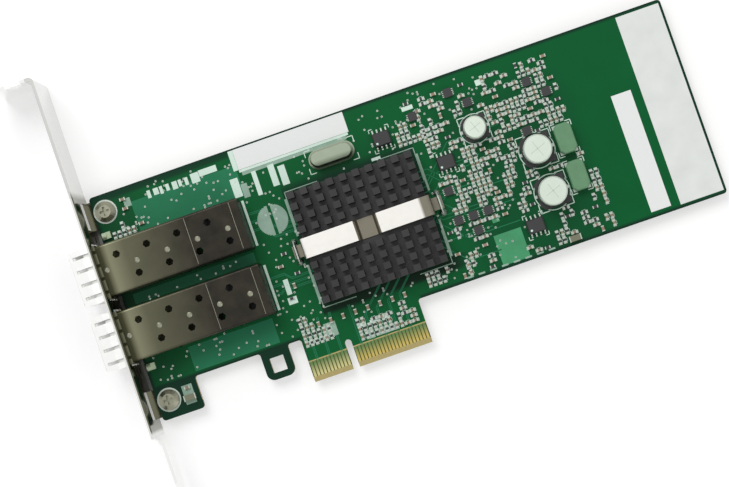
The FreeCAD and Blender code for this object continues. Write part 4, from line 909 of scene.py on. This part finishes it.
class CARD_OT_legend(bpy.types.Operator):
    """Prints plain outlines, bars and a round mark on the board, with no letters"""

    bl_idname = "card.legend"
    bl_label = "Printed marks"

    def execute(self, context):
        rise = context.scene.card_board.legend_height / MM
        surface = [slabs(self.clear_marks(), *levels(rise))]
        for name in CANS:
            low, high = node_box(name)
            radius = (high[0] - low[0]) / 2 + 0.9
            surface.append(rings((low + high)[:2] / 2, radius, radius + 0.25, *levels(rise / 2), 40))
        add_piece("printed_marks", joined(surface), "legend_print")
        add_piece("round_mark", slabs(self.half_discs(), *levels(rise * 0.8)), "legend_worn")
        add_piece("worn_marks", slabs(self.worn_marks(), *levels(rise * 0.9)), "legend_worn")
        return {"FINISHED"}

    @staticmethod
    def clear_marks():
        """Corners round the larger parts, bands, bars and blocks in full white."""
        lines = []
        for name in ("crystal_can", "capacitor_base_one", "capacitor_base_two",
                     "capacitor_base_three", "upper_choke", "lower_choke"):
            low, high = node_box(name)
            reach = (high - low)[:2].min() * 0.3
            lines += corner_lines(*node_area(name, 0.5, 0.5), 0.25, reach)
        low, high = node_box("top_label")
        lines += [(low[0] - 1.4, low[0] - 0.05, low[1], high[1]),
                  (low[0], high[0] - 0.4, low[1] - 0.8, low[1] - 0.05)]
        for name in CAGES:
            low, high = node_box(name)
            lines.append((high[0] + 0.35, high[0] + 1.05, low[1] + 0.6, high[1] - 0.6))
        for name in CHIPS:
            lines += corner_lines(*node_area(name, 0.4, 1.5), 0.2, 1.0)
        # a row of bars where the board carries its printed line, tall and short in turn
        for i in range(7):
            left = -39.6 + 1.85 * i
            lines.append((left, left + (1.0, 1.5, 0.9)[i % 3], 63.4 + 0.3 * (i % 2), 65.6))
        # short bars above the contacts
        return lines + PALE_BLOCKS + [(x, x + 2.2, 10.4, 11.3) for x in (-10.4, -7.2, 4.2, 7.6, 11.0)]

    @staticmethod
    def worn_marks():
        """The same in thinner ink: the heat sink's outline, a band by the label, blocks and dashes."""
        low, high = node_box("heat_sink")
        clip_low, clip_high = node_box("clip_anchors")
        lines = corner_lines(*node_area("heat_sink", 0.9, 0.9), 0.25, 9.6)
        for x in (low[0] - 1.3, high[0] + 1.3):
            lines += [(x - 0.3, x + 0.3, low[1] + 1.0, clip_low[1] - 1.0),
                      (x - 0.3, x + 0.3, clip_high[1] + 1.0, high[1] - 1.0)]
        low, high = node_box("top_label")
        lines.append((low[0] + 0.6, high[0] - 1.2, low[1] - 1.8, low[1] - 0.85))
        first = node_box("circuit_board")[0][0] + 92.5
        return lines + WORN_BLOCKS + [(first + 3.4 * i, first + 3.4 * i + 1.9, 13.2, 13.7)
                                      for i in range(8)]

    @staticmethod
    def half_discs():
        """The round mark: two half discs with a narrow gap between them, each of thin rows."""
        centre, radius, gap = (-8.7, 46.4), 4.3, 0.45
        rows = np.linspace(-radius + 0.2, radius - 0.2, 27)
        reach = np.sqrt(radius ** 2 - rows ** 2)
        half = (rows[1] - rows[0]) / 2
        discs = []
        for sign in (-1, 1):
            for y, out in zip(rows, reach):
                left, right = sorted((sign * gap, sign * out))
                discs.append((centre[0] + left, centre[0] + right,
                              centre[1] + y - half, centre[1] + y + half))
        return discs


class CARD_OT_cage_detail(bpy.types.Operator):
    """Adds the cages' pressed dimples and seams, and the solder on their legs and the anchors"""

    bl_idname = "card.cage_detail"
    bl_label = "Cage detail and solder"

    def execute(self, context):
        dimples, seams = [], []
        for name in CAGES:
            low, high = node_box(name)
            middle = (low[1] + high[1]) / 2
            dimples += [(high[0] - 4.5 - 8.8 * i, middle) for i in range(5)]
            seams += [(x - 0.06, x + 0.06, low[1] + 0.6, high[1] - 0.6)
                      for x in (high[0] - 15.2, high[0] - 2.2)]
        top = node_box(CAGES[0])[1][2]
        add_piece("cage_dimples", frusta(dimples, 0.75, 0.45, top, top + 0.16, 20), "dimple_metal")
        add_piece("cage_seams", slabs(seams, top, top + 0.03), "dimple_metal")

        under = [frusta(leg_tips(name), 0.45, 1.0, *levels(0.8, True), 14)
                 for name in (*CAGES, "clip_anchors")]
        above = frusta(leg_tips("clip_anchors"), 1.0, 0.5, *levels(0.6), 14)
        add_piece("solder_cones", joined([*under, above]), "solder_tin")
        return {"FINISHED"}


class CARD_OT_package_marks(bpy.types.Operator):
    """Adds the first-lead dots of the chips and the pressed vent lines of the cans"""

    bl_idname = "card.package_marks"
    bl_label = "Package marks"

    def execute(self, context):
        dots = [node_box(name)[0][:2] + 0.9 for name in CHIPS]
        level = node_box(CHIPS[0])[1][2]
        marks = frusta(dots, 0.32, 0.32, level, level + 0.02, 18)
        add_piece("first_lead_dots", marks, "legend_print")
        vents = []
        for name in CANS:
            low, high = node_box(name)
            middle = (low + high)[:2] / 2
            for turn in (0.35, 0.35 + math.pi / 2):
                step = (high[0] - low[0]) * 0.3 * np.array([math.cos(turn), math.sin(turn)])
                vents.append(strip([middle - step, middle + step], 0.14, high[2], high[2] + 0.015))
        add_piece("can_vent_lines", joined(vents), "can_vent")
        return {"FINISHED"}


class CARD_OT_stage(bpy.types.Operator):
    """Sets the camera above the card, the table, the lamps and the pale room"""

    bl_idname = "card.stage"
    bl_label = "Stage"

    def execute(self, context):
        look = context.scene.card_stage
        # the camera looks down on the board's face, turned and leaned a little
        turn = Matrix.Identity(4)
        for axis, degrees in TURNS:
            turn = turn @ Matrix.Rotation(math.radians(degrees), 4, axis)
        aim = Matrix.Translation(AIM)
        view = aim @ turn.transposed()
        camera = stand("camera", bpy.data.cameras.new("camera"))
        camera.data.lens = LENS
        camera.data.clip_start = 0.01
        camera.matrix_world = view @ Matrix.Translation((0.0, 0.0, DISTANCE))
        context.scene.camera = camera

        # upper left and lower right, as that camera sees them
        for name, place, side, power in (("key", (-0.55, 0.75, 1.15), 0.8, look.key_power),
                                         ("fill", (0.8, -0.5, 0.9), 0.9, look.fill_power)):
            lamp = stand(name, bpy.data.lights.new(name, "AREA"))
            lamp.data.size = side
            lamp.data.energy = power
            spot = (view @ Matrix.Translation(place)).translation
            towards = (aim.translation - spot).to_track_quat("-Z", "Y")
            lamp.matrix_world = Matrix.Translation(spot) @ towards.to_matrix().to_4x4()

        # a wide slab with its top at the card's lowest level
        low = float(CAD_BOX[0][2]) / MM
        reach, thick = 2500.0, 20.0
        plate = slabs([(-reach, reach, -reach, reach)], low - thick, low)
        floor = stand("table_top", make_mesh("table_top", plate))
        floor.data.materials.append(self.table_finish(tuple(look.floor)))
        self.room(look.sky)
        context.scene.view_settings.view_transform = "Standard"
        return {"FINISHED"}

    @staticmethod
    def seen(shader):
        """1 for rays from the camera and for mirrored and refracted ones."""
        path = shader.node("ShaderNodeLightPath", {}, {})
        parts = [Value(shader, path.outputs[name])
                 for name in ("Is Camera Ray", "Is Glossy Ray", "Is Transmission Ray")]
        return parts[0].larger(parts[1]).larger(parts[2])

    def table_finish(self, rgb):
        """Plain pale stuff that looks near white to the camera and keeps its shadows, with painted
        shade beneath the card and behind the openings of the bracket's upper ear."""
        shader = Shader("table_top")
        x, y, _ = shader.place()
        low, high = BOARD
        left = SHEET - 2.4 * MM
        board = x.within(left, high[0] - 3.0 * MM) * y.within(low[1] + 4.5 * MM, high[1] - 2.0 * MM)
        openings = x.within(left, SHEET) * y.within(high[1] - 4.0 * MM, high[1] - 0.4 * MM)
        # pale again below the tongue, but not by the foot
        above = (y > 17.0 * MM).larger(x < low[0] + 4.0 * MM)
        # painted shade: the whitening is taken away where the card and the bracket's ear cover the
        # table
        level = self.seen(shader) * (1.0 - board.larger(openings) * above)
        shader.set(Base_Color=(*rgb, 1.0), Roughness=0.9, Specular_IOR_Level=0.0,
                   Emission_Color=shader.mix(level, (0.0,) * 3, (0.48,) * 3),
                   Emission_Strength=1.0)
        return shader.material

    def room(self, level):
        """A room of even pale light, white where it is seen."""
        world = bpy.data.worlds.new("room")
        bpy.context.scene.world = world
        world.use_nodes = True
        shader = Shader.__new__(Shader)
        shader.tree = world.node_tree
        shader.tree.nodes.clear()
        rgb = shader.mix(self.seen(shader), (level,) * 3, (0.9,) * 3)
        back = shader.node("ShaderNodeBackground", {}, {"Color": rgb})
        shader.node("ShaderNodeOutputWorld", {}, {"Surface": back.outputs[0]})


class CARD_PT_panel(bpy.types.Panel):
    """Lists the card's operators and their sizes"""

    bl_idname = "CARD_PT_panel"
    bl_label = "Network card"
    bl_space_type = "VIEW_3D"
    bl_region_type = "UI"
    bl_category = "Network card"

    def draw(self, context):
        for operator in OPERATORS:
            self.layout.operator(operator.bl_idname)
        for group in GROUPS:
            sizes = getattr(context.scene, group)
            for name in type(sizes).__annotations__:
                self.layout.prop(sizes, name)


GROUPS = {"card_board": CardBoardLook, "card_parts": CardPartSizes, "card_stage": CardStageLook}
OPERATORS = (CARD_OT_finishes, CARD_OT_copper, CARD_OT_vias, CARD_OT_fine_parts, CARD_OT_legend,
             CARD_OT_cage_detail, CARD_OT_package_marks, CARD_OT_stage)
CLASSES = (*GROUPS.values(), *OPERATORS, CARD_PT_panel)


def register():
    for kind in CLASSES:
        bpy.utils.register_class(kind)
    for name, kind in GROUPS.items():
        setattr(bpy.types.Scene, name, PointerProperty(type=kind))


def unregister():
    for name in GROUPS:
        delattr(bpy.types.Scene, name)
    for kind in reversed(CLASSES):
        bpy.utils.unregister_class(kind)


def main():
    register()
    for operator in OPERATORS:
        group, name = operator.bl_idname.split(".")
        getattr(getattr(bpy.ops, group), name)()


if __name__ == "__main__":
    main()
